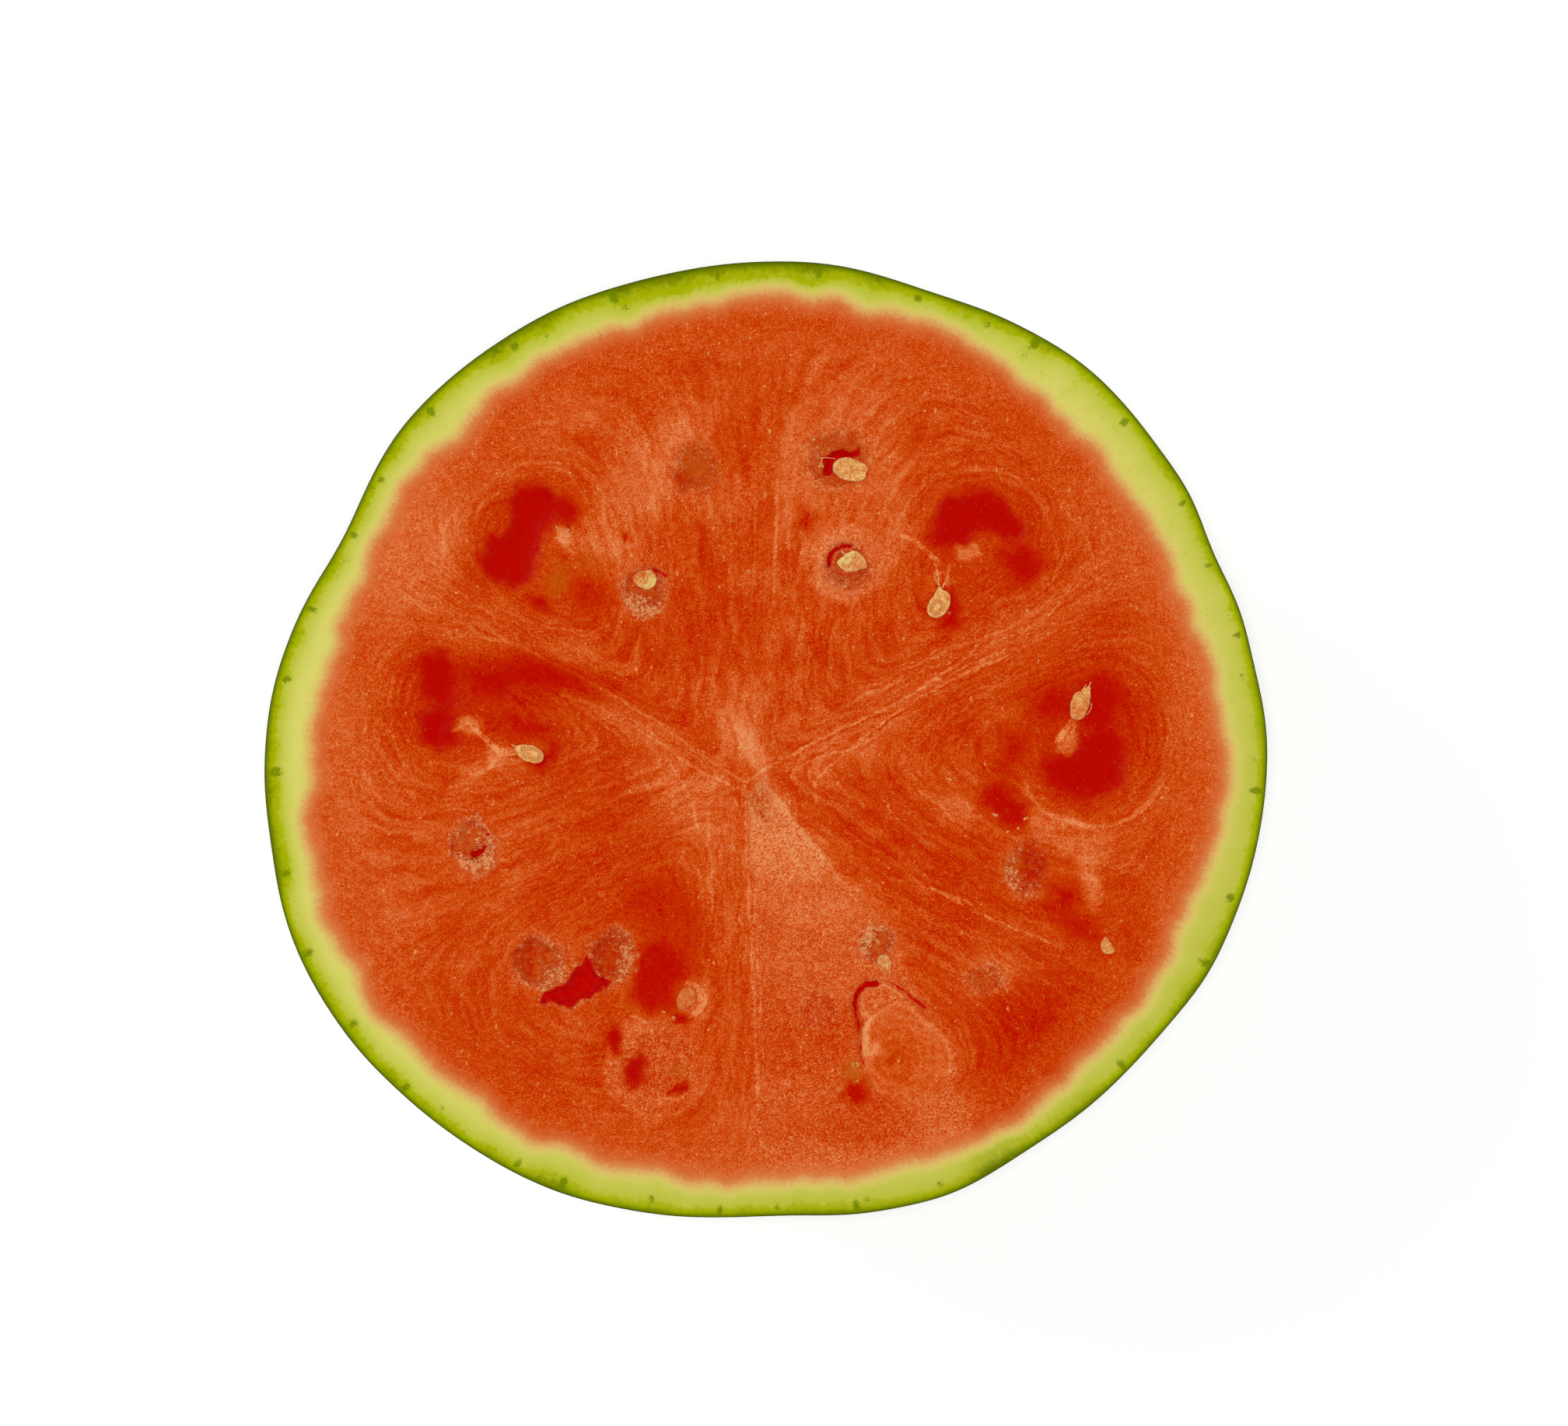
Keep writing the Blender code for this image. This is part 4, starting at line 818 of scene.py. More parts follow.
class CutFace:
    """The points of the cut face, with its relief in millimetres and the values to be painted on it."""

    def __init__(self, x, y):
        self.x, self.y = x, y
        self.angle, radius = np.arctan2(y, x), np.hypot(x, y)
        self.depth = outline_at(self.angle) - radius
        self.core = self.depth - around(self.angle, RIND)
        self.broad = rough(x, y, 9.0, 4.2, 3)
        self.lumps = rough(x, y, 1.7, 5.5, 2)
        self.fine = rough(x, y, 0.9, 3.5, 2)
        # the same points moved about, widely and finely, so that what is laid there gets an uneven edge
        self.wx = x + 0.9 * rough(x, y, 3.2, 1.5, 3)
        self.wy = y + 0.9 * rough(x, y, 3.2, 7.5, 3)
        self.fx, self.fy = x + 0.2 * self.fine, y - 0.2 * self.fine
        self.flow = lobe_flow(self.wx, self.wy, self.angle, radius)
        self.streak = smooth(0.08, 0.32, self.flow) * smooth(6.0, 14.0, self.core)
        self.relief = 0.12 * rough(x, y, 14.0, 9.1, 2)
        self.tone = np.full(len(x), BASE_TONE) + 0.05 * self.broad
        self.grain = np.ones(len(x))
        self.deep, self.cleft = np.full(len(x), -1.0), np.full(len(x), -1.0)
        self.straw, self.brown, self.pit, self.crumb, self.line, self.line_gain = np.zeros((6, len(x)))

    def toward(self, share, goal):
        """Bring the tone this share of the way to another."""
        self.tone = self.tone + share * (goal - self.tone)

    def raise_to(self, name, value):
        setattr(self, name, np.maximum(getattr(self, name), value))

    def lay_tones(self):
        self.dull = smooth(-0.8, 0.8, inside(self.wx, self.wy, DULL_FLESH))
        self.toward(self.dull * 0.8, DULL_TONE + 0.08 * smooth(-60, -25, self.y))
        for *shape, goal, strength, soft in PATCHES:
            # dark patches on the right end where the duller flesh begins
            beside = 1 - self.dull if shape[0] > 16 and goal < 0.44 else 1
            edge = smooth(1 + soft, 1 - soft, oval(self.wx, self.wy, *shape))
            self.toward(beside * strength * edge, goal)
        edge = 0.8 * around(self.angle, PALE_EDGE) * smooth(6.5, 0.5, self.core + 1.5 * self.broad)
        self.toward(edge, EDGE_TONE)
        self.streak *= 1 - 0.85 * self.dull

    def lay_wedge(self):
        wedge = inside(self.x + 0.3 * self.fine, self.y + 0.3 * self.fine, WEDGE)
        wedge = smooth(-0.15, 0.9, wedge) * smooth(-33, -24, self.y)
        self.toward(wedge * 0.85, WEDGE_TONE)
        self.streak *= 1 - wedge
        self.relief -= 0.45 * wedge
        self.grain += 0.4 * wedge + 0.3 * self.dull

    def lay_brown(self):
        for *shape, strength in BROWN:
            share = strength * smooth(1.45, 0.35, oval(self.wx, self.wy, *shape))
            self.raise_to("brown", share)
            self.streak *= 1 - share

    def sink_pits(self):
        x, y, lumps, fine = self.x, self.y, self.lumps, self.fine
        for px, py, floor, halo, tall, low, high, crumbs, sunk, strong, uneven in PITS:
            strong = math.radians(strong)
            q = oval(self.fx + 0.9 * (self.wx - x), self.fy + 0.9 * (self.wy - y), px, py, 1, tall, 0)
            q = q + 1.1 * lumps + 0.4 * fine
            side = 1 - uneven * (1 - np.cos(np.arctan2(y - py, x - px) - strong)) / 2
            ring = smooth(halo + 0.6, halo - 2.0, q) * side
            within = smooth(floor + 0.6, floor - 0.8, q)
            loose = min(1.0, 2.4 * crumbs)
            lit = ((x - px) * math.cos(strong) + (y - py) * math.sin(strong)) / floor
            lit = smooth(-0.2, 0.9, lit + 0.5 * lumps) * loose
            self.toward(0.85 * ring, high)
            self.toward(0.9 * within, low + 0.8 * (high - low) * lit)
            lip = smooth(floor - 1.8, floor - 0.2, q) * smooth(floor + 1.4, floor + 0.2, q)
            lip = lip * (0.6 + 0.8 * lumps)
            beyond = 0.8 * smooth(floor + 1.8, floor + 0.4, q) * side
            self.raise_to("pit", loose * np.maximum(within, beyond))
            inner, outer = (0.10 + 0.56 * lit) * within, 0.85 * np.clip(lip, 0, 1) * side
            self.raise_to("crumb", np.maximum(inner, outer) * loose)
            self.raise_to("straw", 0.6 * crumbs * within * lit)
            self.tone += 0.10 * lip * side
            self.grain += (0.3 + 1.2 * crumbs) * within + 0.3 * ring
            self.relief -= sunk * smooth(floor + 0.3, floor * 0.5, q) - 0.20 * ring * (1 - within)
            self.relief += 0.25 * fine * within
            self.streak *= 1 - np.maximum(ring, within)

    def sink_cavities(self):
        for corners, soft, full, sunk in CAVITIES_AND_SEED_SHADOWS:
            into = inside(self.wx + 0.5 * self.lumps, self.wy - 0.5 * self.lumps, corners) / soft
            self.raise_to("deep", np.minimum(into, full))
            share = smooth(-1.0, 0.6, into) * (0.35 + 0.65 * full)
            # for the rows beside the seeds this dark tone is a painted shadow
            self.toward(0.75 * share, CAVITY_AND_SHADOW_TONE)
            self.relief -= sunk * smooth(-1.7, 1.9, into)
            self.streak *= 1 - 0.8 * share

    def open_splits(self):
        lumps = self.lumps
        into = inside(self.wx + 0.6 * lumps, self.wy + 0.6 * lumps + 0.2 * self.fine, SPLIT)
        torn = smooth(-1.7, -0.3, into) * (into < 0) * np.clip(0.5 + 1.2 * lumps, 0, 1)
        self.raise_to("pit", 0.7 * torn)
        self.raise_to("crumb", 0.8 * torn)
        # painted shade: the split, and below it the gap beside the seed, are painted dark red in the shader
        self.raise_to("cleft", into / 1.3)
        self.relief -= 1.5 * smooth(-0.3, 1.6, into)
        into = inside(self.fx + 0.3 * lumps, self.fy, SEED_GAP)
        self.raise_to("cleft", into)
        self.relief -= 1.2 * smooth(-0.3, 0.9, into)

    def lay_slab(self):
        """The torn slab with its dished, ringed face and pale rim, and the chip beside it. The upper part of
        the slab's rim and its curled left edge are painted paler as a painted highlight.
        """
        wx, wy, fx, fy, y = self.wx, self.wy, self.fx, self.fy, self.y
        slab = inside(fx, fy, SLAB)
        share = smooth(-0.1, 0.35, slab)
        rings = np.sin(np.hypot(wx - 26.5, wy + 65.5) * 2.9)
        dish = smooth(7.5, 1.5, np.hypot(wx - 27.0, (wy + 65.6) * 0.9))
        self.toward(share * 0.85, SLAB_TONE - 0.13 * dish + 0.05 * rings)
        self.toward(share * smooth(1.8, 0.4, np.hypot(wx - 25.9, wy + 65.6)) * 0.7, DISH_TONE)
        # painted highlight: the slab's upper rim and its curled left edge are painted paler
        self.tone += 0.16 * smooth(0.0, 0.4, slab) * smooth(1.8, 0.4, slab) * smooth(-73, -62, y)
        self.tone += 0.24 * share * smooth(1.9, 0.5, near_line(wx, wy, SLAB_CURL_HIGHLIGHT)[0])
        self.grain -= 0.5 * share
        self.relief += share * (0.14 + 0.24 * smooth(30, 20, self.x))
        chip = inside(fx, fy, SLAB_CHIP)
        share = smooth(-0.1, 0.3, chip) * (slab < 0)
        self.toward(share * 0.7, CHIP_TONE)
        self.tone += 0.24 * smooth(0.0, 0.3, chip) * smooth(1.1, 0.2, chip) * (slab < 0)
        self.relief += 0.15 * share

    def lay_brink(self):
        """The pale edge at which the duller flesh starts."""
        into = inside(self.fx, self.fy, DULL_FLESH)
        brink = smooth(0.0, 0.3, into) * smooth(1.3, 0.3, into) * smooth(1.5, 4.0, self.x)
        self.tone += 0.18 * (brink * smooth(-34, -27, self.y))

    def open_cracks(self):
        for points, half_start, half_end, sunk in CRACKS:
            gap, share = near_line(self.fx, self.fy, points)
            half = half_start + (half_end - half_start) * share
            # painted shade: each crack is painted dark red in the shader
            self.raise_to("cleft", (half - gap) / 0.8)
            self.relief -= 0.6 * sunk * smooth(half + 0.5, half * 0.3, gap)

    def draw_lines(self):
        x, y = self.x + 0.3 * (self.wx - self.x), self.y + 0.3 * (self.wy - self.y)
        for points, half, goal, strength in LINES:
            gap, share = near_line(x, y, points)
            taper = smooth(0, 0.06, share) * smooth(1, 0.85, share)
            self.raise_to("line", np.clip(0.5 + (half * (0.5 + 0.5 * taper) - gap) / 2.4, 0, 1))
            self.raise_to("line_gain", strength * (goal - 0.38) * smooth(2.6, 1.4, gap))
            near = strength * smooth(half + 0.6, 0, gap)
            self.relief += 0.10 * strength * smooth(half + 0.6, 0, gap)
            self.brown *= 1 - 0.5 * near
            self.tone += 0.10 * near * (goal - 0.42)

    def lay_straw(self):
        for px, py, length, width, turn, strength in STRAW:
            q = oval(self.fx, self.fy, px, py, length * 0.8 + 0.1, width * 0.8 + 0.1, turn)
            share = strength * smooth(1.7, 0.5, q)
            self.raise_to("straw", share)
            self.relief += 0.18 * share

    def open_moats(self):
        """A sunk, open ring round each seed that lies loose, painted dark as painted shade in the gap."""
        for name, outline in SEED_OUTLINES.items():
            gap, moat = -inside(self.fx, self.fy, outline), SEEDS[name].moat
            ring = smooth(0.9 * moat + 0.1, 0.0, gap)
            self.relief -= 0.6 * moat * smooth(0.9 * moat + 0.3, -0.4, gap)
            # painted shade: the tone in the open ring round the seed is pulled dark
            self.toward(0.65 * moat * ring, MOAT_SHADE_TONE)
            self.straw *= 1 - moat * ring
            self.pit *= 1 - moat * ring

    def level(self):
        """Keep the relief inside the flesh, round off the skin's edge and flatten what stands high."""
        flesh = smooth(-0.3, 2.0, self.core)
        relief = self.relief * flesh + 0.03 * self.fine * flesh - 0.14 * smooth(0.30, 0.0, self.depth)
        high = HIGHEST + 0.3 * np.tanh((relief - HIGHEST) / 0.3)
        self.relief = np.where(relief > HIGHEST, high, relief)

    def painted(self):
        kept = ("tone", "pit", "crumb", "straw", "brown", "grain", "flow", "streak", "depth", "core", "deep",
                "cleft", "line", "line_gain")
        values = {name: getattr(self, name) for name in kept}
        values["green"] = around(self.angle, RIND, 2)
        values["vessel"] = rind_vessels(self.angle, self.depth)
        return values


def rind_vessels(angle, depth):
    """Dark green strands cut across, in the green of the rind."""
    mark = np.zeros(len(angle))
    for at, down, wide, tall, strength in VESSELS:
        across = ((np.degrees(angle) - at + 180) % 360 - 180) * MM_PER_DEGREE
        q = np.hypot(across / (wide + 0.3), (depth - down) / (tall + 0.3))
        mark = np.maximum(mark, strength * smooth(1.5, 0.3, q))
    return mark


# ---------------------------------------------------------------- pieces


def new_object(name, data):
    made = bpy.data.objects.new(name, data)
    bpy.context.scene.collection.objects.link(made)
    return made


def mesh_object(name, bm, material):
    mesh = bpy.data.meshes.new(name)
    bm.to_mesh(mesh)
    bm.free()
    mesh.materials.append(material)
    return new_object(name, mesh)


def new_piece(name, bm, material, replaced=()):
    bmesh.ops.recalc_face_normals(bm, faces=bm.faces[:])
    piece = mesh_object(name, bm, material)
    piece.data.shade_smooth()
    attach(piece, "root")
    if replaced:
        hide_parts(*replaced)
    return piece


def paint(piece, values):
    for name, numbers in values.items():
        layer = piece.data.attributes.new(name, "FLOAT", "POINT")
        layer.data.foreach_set("value", np.asarray(numbers, np.float32))


def extrude_rim(bm, edges):
    """The new points and edges of one more ring."""
    made = bmesh.ops.extrude_edge_only(bm, edges=edges)["geom"]
    points = [part for part in made if isinstance(part, bmesh.types.BMVert)]
    return points, [part for part in made if isinstance(part, bmesh.types.BMEdge)]


def even_disc(rings):
    """A flat disc of even triangles, as a bmesh, with each point's angle and share of the radius."""
    bm = bmesh.new()
    bmesh.ops.create_circle(bm, cap_ends=True, cap_tris=True, segments=6, radius=1.0)
    first = 12
    for cuts in (first - 1, rings // first - 1):
        bmesh.ops.subdivide_edges(bm, edges=bm.edges[:], cuts=cuts, use_grid_fill=True)
    points = np.array([v.co for v in bm.verts])[:, :2]
    start = np.array([v.co for v in bm.verts if abs(v.co.length - 1) < 1e-6])[:, :2]
    first_corner = math.atan2(start[0][1], start[0][0])
    bearing = (np.arctan2(points[:, 1], points[:, 0]) - first_corner) % TURN
    sector = np.minimum(np.floor(bearing / (math.pi / 3) + 1e-9), 5)
    low = first_corner + sector * math.pi / 3
    high = low + math.pi / 3
    middle = (low + high) / 2
    share = (points[:, 0] * np.cos(middle) + points[:, 1] * np.sin(middle)) / math.cos(math.pi / 6)
    side = np.stack([np.cos(high) - np.cos(low), np.sin(high) - np.sin(low)], 1)
    corner = np.stack([np.cos(low), np.sin(low)], 1)
    unit = points / np.maximum(share, 1e-9)[:, None] - corner
    along = np.clip((unit * side).sum(1), 0, 1)
    return bm, low + along * math.pi / 3, np.clip(share, 0, 1)


def make_cut_face(material):
    """The whole cut surface, with its hollows, pits and torn slab, closed by a plain underside."""
    bm, angle, share = even_disc(FACE_RINGS)
    radius = share * outline_at(angle)
    face = CutFace(radius * np.cos(angle), radius * np.sin(angle))
    for work in (
        face.lay_tones, face.lay_wedge, face.lay_brown, face.sink_pits, face.sink_cavities, face.open_splits,
        face.lay_slab, face.lay_brink, face.open_cracks, face.draw_lines, face.lay_straw, face.open_moats,
        face.level,
    ):
        work()
    for vert, x, y, z in zip(bm.verts, face.x * MM, face.y * MM, FACE_Z + face.relief * MM):
        vert.co = (x, y, z)
    count = len(bm.verts)
    rim = [e for e in bm.edges if e.is_boundary]
    for size, drop in UNDERSIDE:
        points, rim = extrude_rim(bm, rim)
        for vert in points:
            x, y, _ = vert.co
            wide = outline_at(math.atan2(y, x)) * MM * size / math.hypot(x, y)
            vert.co = (x * wide, y * wide, FACE_Z - drop)
    bmesh.ops.contextual_create(bm, geom=rim)
    hidden = len(bm.verts) - count
    piece = new_piece("cut_face", bm, material, (MELON,))
    paint(piece, {
        name: np.append(numbers, np.full(hidden, numbers.mean())) for name, numbers in face.painted().items()
    })


def make_skin(material):
    """The striped outside, from the edge of the cut down to the flat spot, as a closed bowl."""
    last = len(RING_HEIGHTS) - 1
    radii = np.array([round_to(ring, SKIN_STEPS) for ring in RING_RADII])
    heights = with_ends(RING_HEIGHTS)
    # the belly is held in to the cut's own outline, so that no skin shows round the cut from above
    held_in = np.minimum(with_ends(radii), radii[0] * 1.0008)
    angles = np.arange(SKIN_STEPS) / SKIN_STEPS * 2 * math.pi

    def between(table, level):
        i = min(int(level), last - 1)
        return bend(*table[i:i + 4], level - i)

    def set_ring(points, radius, height, lumps=0.0):
        for vert in points:
            step = round(math.atan2(vert.co.y, vert.co.x) / TURN * SKIN_STEPS) % SKIN_STEPS
            a = angles[step]
            spot = Vector((radius[step] * math.cos(a), radius[step] * math.sin(a), height))
            lump = -abs(noise.fractal(spot / (22 * MM), 1.0, 2.0, 2)) * 0.35 * MM * lumps
            vert.co = (spot.x * (1 + lump / radius[step]), spot.y * (1 + lump / radius[step]), height)

    # up the hidden inner side from its closed floor, over the edge of the cut, and down the outside
    bm = bmesh.new()
    bmesh.ops.create_circle(bm, cap_ends=False, segments=SKIN_STEPS, radius=1.0)
    points, edges = bm.verts[:], bm.edges[:]
    bmesh.ops.contextual_create(bm, geom=edges)
    for size, drop in SKIN_INNER:
        set_ring(points, radii[0] * size, FACE_Z - drop)
        points, edges = extrude_rim(bm, edges)
    for level in np.linspace(0, last, SKIN_RINGS + 1):
        if level:
            points, edges = extrude_rim(bm, edges)
        height = float(between(heights, level)) - (0 if level else SKIN_LIP)
        lumps = float(smooth(0, 1.2, level) * smooth(last, last - 1.5, level))
        set_ring(points, between(held_in, level), height, lumps)
    bmesh.ops.contextual_create(bm, geom=edges)
    new_piece("skin", bm, material)


def make_seed(name, material):
    seed = SEEDS[name]
    facing = math.radians(seed.facing)
    corners = np.array(SEED_OUTLINES[name])
    middle = corners.mean(0)
    arms = corners - middle
    bearings, reach = np.arctan2(arms[:, 1], arms[:, 0]), np.hypot(arms[:, 0], arms[:, 1])
    order = np.argsort(bearings)
    low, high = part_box(name)
    mid_height = ((low + high) / 2).z
    own = float(sum(map(ord, name)))  # gives each seed its own noise
    bm = bmesh.new()
    bmesh.ops.create_uvsphere(bm, u_segments=80, v_segments=32, radius=1.0)
    welts, edges, pales = [], [], []
    for vert in bm.verts:
        x, y, z = vert.co
        across = min(math.hypot(x, y), 1.0)
        bearing = math.atan2(y, x)
        # how far the outline is this way, its corners rounded by looking a little to each side
        long = sum(
            np.interp(bearing + turn, bearings[order], reach[order], period=2 * math.pi)
            for turn in (-0.1, 0, 0.1)
        ) / 3
        east, north = middle[0] + x * long, middle[1] + y * long
        lump = noise.fractal((x * 1.4 + own, y * 1.4, z), 1.0, 2.0, 3)
        grain = noise.fractal((east * 1.7, north * 1.7, own), 1.0, 2.0, 2)
        welt_gap = abs(float(oval(east, north, *seed.welt)) - 1)
        ridge = math.exp(-((welt_gap / 0.13) ** 2)) * 0.10 + math.exp(-(((across - 0.90) / 0.06) ** 2)) * 0.07
        dome = math.copysign(abs(z) ** 0.5, z) if z else 0.0
        thick = dome * (0.86 - 0.3 * seed.crumple)
        thick = thick + seed.crumple * (lump + 0.5 * grain) * abs(dome) * 0.7
        thick = min(thick + (ridge if z > 0 else 0), 0.98)
        out = 1 + seed.crumple * 0.14 * lump + 0.02 * grain
        vert.co = (
            (middle[0] + x * long * out) * MM, (middle[1] + y * long * out) * MM,
            thick * SEED_THICKNESS / 2 * MM,
        )
        welts.append(welt_gap)
        edges.append(across)
        near = float(smooth(-0.5, 0.5, x * math.cos(facing) + y * math.sin(facing) + 0.5 * lump))
        pales.append(seed.far_side + (seed.near_side - seed.far_side) * near)
    bmesh.ops.translate(bm, verts=bm.verts, vec=(0, 0, mid_height))
    piece = new_piece(name.replace("seed_", "pip_"), bm, material, (name,))
    paint(piece, {"welt": welts, "edge": edges, "pale": pales, "mark": np.full(len(welts), seed.mark)})


def make_strands(material):
    """Torn stalk tissue and bits of seed coat, half sunk in the flesh."""
    bm = bmesh.new()
    for points, start, end in STRANDS:
        line = curve_through(points, 5)
        tube(bm, [(x * MM, y * MM, FACE_Z + 0.04 * MM) for x, y in line], start * MM, end * MM)
    new_piece("stalk_threads", bm, material)


def tube(bm, points, start_radius, end_radius, sides=8):
    """A closed, tapering thread along the points, in metres."""
    line = [Vector(point) for point in points]
    ring = bmesh.ops.create_circle(bm, cap_ends=True, segments=sides, radius=1.0)["verts"]
    face = ring[0].link_faces[0]
    shape = [v.co.copy() for v in ring]
    for i, centre in enumerate(line):
        if i:
            made = bmesh.ops.extrude_face_region(bm, geom=[face])["geom"]
            if i > 1:
                bmesh.ops.delete(bm, geom=[face], context="FACES_ONLY")
            face = next(part for part in made if isinstance(part, bmesh.types.BMFace))
            ring = list(face.verts)
        heading = (line[min(i + 1, len(line) - 1)] - line[max(i - 1, 0)]).normalized()
        matrix = heading.to_track_quat("Z", "Y").to_matrix()
        share = i / (len(line) - 1)
        radius = start_radius + (end_radius - start_radius) * share
        for vert, flat in zip(ring, shape):
            vert.co = centre + matrix @ (flat * radius)


# ---------------------------------------------------------------- finishes


def rind_layers(f, x, y, fine, cells, clouds):
    """The rind's colour from the skin in, the share of flesh inside it, its depth and its fine hairs."""
    flat = f.join(x, y, 0.0)
    bearing = f.vector("SCALE", {0: f.vector("NORMALIZE", {0: flat}), "Scale": 95.0})
    radial = f.vector("MULTIPLY_ADD", {0: flat, 1: (0.22, 0.22, 0.0), 2: bearing})
    tongues = f.ripple(radial, 0.13, 0.0, 0.5)
    hairs = f.ripple(radial, 0.95, 2.0, 0.65)
    depth, core = f.painted("depth"), f.painted("core")
    green = depth + (hairs * 1.4 + tongues * 2.4 + fine * 1.8 + cells * 2.2) * depth.above(0.3, 1.8)
    green = green / f.painted("green")
    rind = f.ramp((green * 0.2).clamped(), (
        (0.000, (80, 92, 0)), (0.020, (98, 112, 0)), (0.06, (130, 144, 0)), (0.12, (163, 173, 0)),
        (0.19, (172, 182, 6)), (0.235, (188, 194, 48)), (0.36, (200, 202, 78)), (0.62, (214, 209, 96)),
        (0.90, (222, 212, 106)),
    ))
    greener = (clouds * 2.4 + cells * 1.6 + fine * 1.4).clamped() * depth.above(1.0, 1.5)
    rind = f.mix(greener * 0.7, rind, rgb(188, 198, 52))
    to_lower_right = ((x - y) * 0.0042).clamped() * depth.above(1.0, 2.0)
    rind = f.mix(to_lower_right * 0.8, rind, rgb(190, 186, 70))
    to_left = ((x + 30.0) * -0.012).clamped() * depth.above(3.0, 3.0)
    rind = f.mix(to_left * 0.8, rind, rgb(226, 220, 114))
    vessel = (f.painted("vessel") + fine * 1.8 + cells * 1.2 + hairs * 0.4).above(0.36, 0.38)
    rind = f.mix(vessel * 0.85, rind, rgb(112, 132, 0))
    inward = core - 0.4 + (tongues * 2.6 + hairs * 1.1 + fine * 2.6 + cells * 0.9)
    blush = f.ramp((inward * 0.19 + 0.5).clamped(), (
        (0.00, (222, 208, 104)), (0.22, (223, 194, 104)), (0.44, (224, 166, 94)), (0.62, (220, 136, 74)),
        (0.90, (216, 110, 54)),
    ))
    return f.mix(inward.above(-3.2, 2.0), rind, blush), inward.above(-0.2, 4.2), depth, hairs


def flesh_finish():
    """Wet flesh and the layers of the rind, from the values painted on the cut face."""
    f = Finish("wet_flesh_and_rind")
    place = f.place()
    x, y, _ = f.parts(place)
    straw, brown = f.painted("straw"), f.painted("brown")
    grain, flow, streak = f.painted("grain"), f.painted("flow"), f.painted("streak")
    fine = f.ripple(place, 2.0, 3.0, 0.7)
    grit = f.ripple(place, 4.2, 2.0, 0.7)
    cells = f.ripple(place, 0.8, 2.0, 0.6)
    clouds = f.ripple(place, 0.26, 3.0, 0.6)

    # grains and flakes everywhere, fibres along the lobes, and a faint web
    along = f.ripple(f.join(flow * 22, x * 0.08, y * 0.08), 1.0, 3.0, 0.65)
    threads = f.ripple(f.join(flow * 44, x * 0.15, y * 0.15), 1.0, 2.0, 0.6)
    drift = f.vector("ADD", {0: place, 1: f.join(fine * 1.6, cells * 2.4, 0.0)})
    flakes = (f.ripple(drift, 0.95, 3.0, 0.7) + fine * 0.3).above(-0.05, 0.10) - 0.5
    grains = fine * 0.62 + grit * 1.2 + cells * 0.10 + flakes * 0.09
    tone = f.painted("tone") + grain * grains + clouds * 0.16
    tone = tone + streak * (along * 0.50 + threads * 0.46)
    web = (1 - f.ripple(drift, 0.34, 3.0, 0.6).abs() * 20).clamped() * (1 - streak * 0.5)
    tone = tone + web * (cells + 0.3) * 0.26

    # pale lines of fibre, and small bright specks of wet flesh, painted highlights
    line = f.painted("line") + fine * 0.14 + cells * 0.06
    tone = tone + line.above(0.47, 0.08) * f.painted("line_gain") * (cells * 1.4 + 0.62)
    lot, size, other = f.parts(f.cells(drift, 0.95, "Color"))
    # painted highlight: small bright glints of wet flesh, painted into the tone
    glint_speck = 1 - (f.cells(drift, 0.95) - size * 0.08).above(0.10, 0.08)
    glint_speck = glint_speck * (lot + clouds * 1.2).above(0.70, 0.1)
    tone = tone + glint_speck * (0.10 + other * other * 0.50)

    # deep red cavities with a grainy edge, and the painted shadows beside three seeds
    red = f.painted("deep") + fine * 2.6 + grit * 2.4 + flakes * 0.5 + along * 1.4 + threads * 0.7
    red = red.above(0.0, 0.4)
    tone = tone + red * (0.04 + fine * 0.12 + grit * 0.16 - tone) * (0.94 - glint_speck * 0.5)
    flesh = f.ramp(tone.clamped(), (
        (0.00, (187, 0, 0)), (0.10, (193, 14, 0)), (0.23, (197, 35, 0)), (0.37, (202, 55, 0)),
        (0.47, (208, 70, 0)), (0.57, (215, 86, 16)), (0.68, (224, 104, 48)), (0.80, (233, 123, 70)),
        (1.00, (240, 158, 98)),
    ))

    # brown flesh over buried seeds, bits of husk, crumbly pits, and clean clefts, dark red as painted shade
    flesh = f.mix((brown * (0.75 + cells)).clamped() * (1 - red), flesh, rgb(192, 88, 6))
    crumb = (straw * 1.1 + (fine + grit * 0.6) * 0.9 - 0.35).above(0.22, 0.3)
    husk = f.ramp(fine + 0.5, ((0.34, (216, 134, 70)), (0.52, (228, 176, 100)), (0.7, (234, 218, 124))))
    flesh = f.mix(crumb, flesh, husk)
    pit, crumb_share = f.painted("pit"), f.painted("crumb")
    nubs = f.ripple(drift, 1.2, 2.0, 0.7) + fine * 0.4 + grit * 0.2
    lump = (nubs * 4.4 + crumb_share * 1.6 - 0.70).above(0.0, 0.26)
    floor = f.ramp(cells + 0.5, ((0.35, (190, 30, 0)), (0.65, (204, 78, 8))))
    flesh = f.mix(pit * (1 - lump) * 0.70, flesh, floor)
    bits = f.ramp(fine + 0.5, ((0.36, (222, 112, 66)), (0.52, (232, 146, 92)), (0.72, (240, 206, 132))))
    flesh = f.mix(pit * lump * 0.85, flesh, bits)
    # painted shade: the clefts are painted the darkest red
    cleft = (f.painted("cleft") + fine * 0.9 + cells * 0.7).above(-0.05, 0.22)
    flesh = f.mix(cleft, flesh, f.ramp(cells + 0.5, ((0.35, (188, 0, 0)), (0.6, (202, 8, 0)))))

    rind, to_flesh, depth, hairs = rind_layers(f, x, y, fine, cells, clouds)
    skin_line = 1 - (depth + hairs * 0.2).above(0.02, 0.14)
    colour = f.mix(skin_line * 0.85, f.mix(to_flesh, rind, flesh), rgb(30, 46, 0))

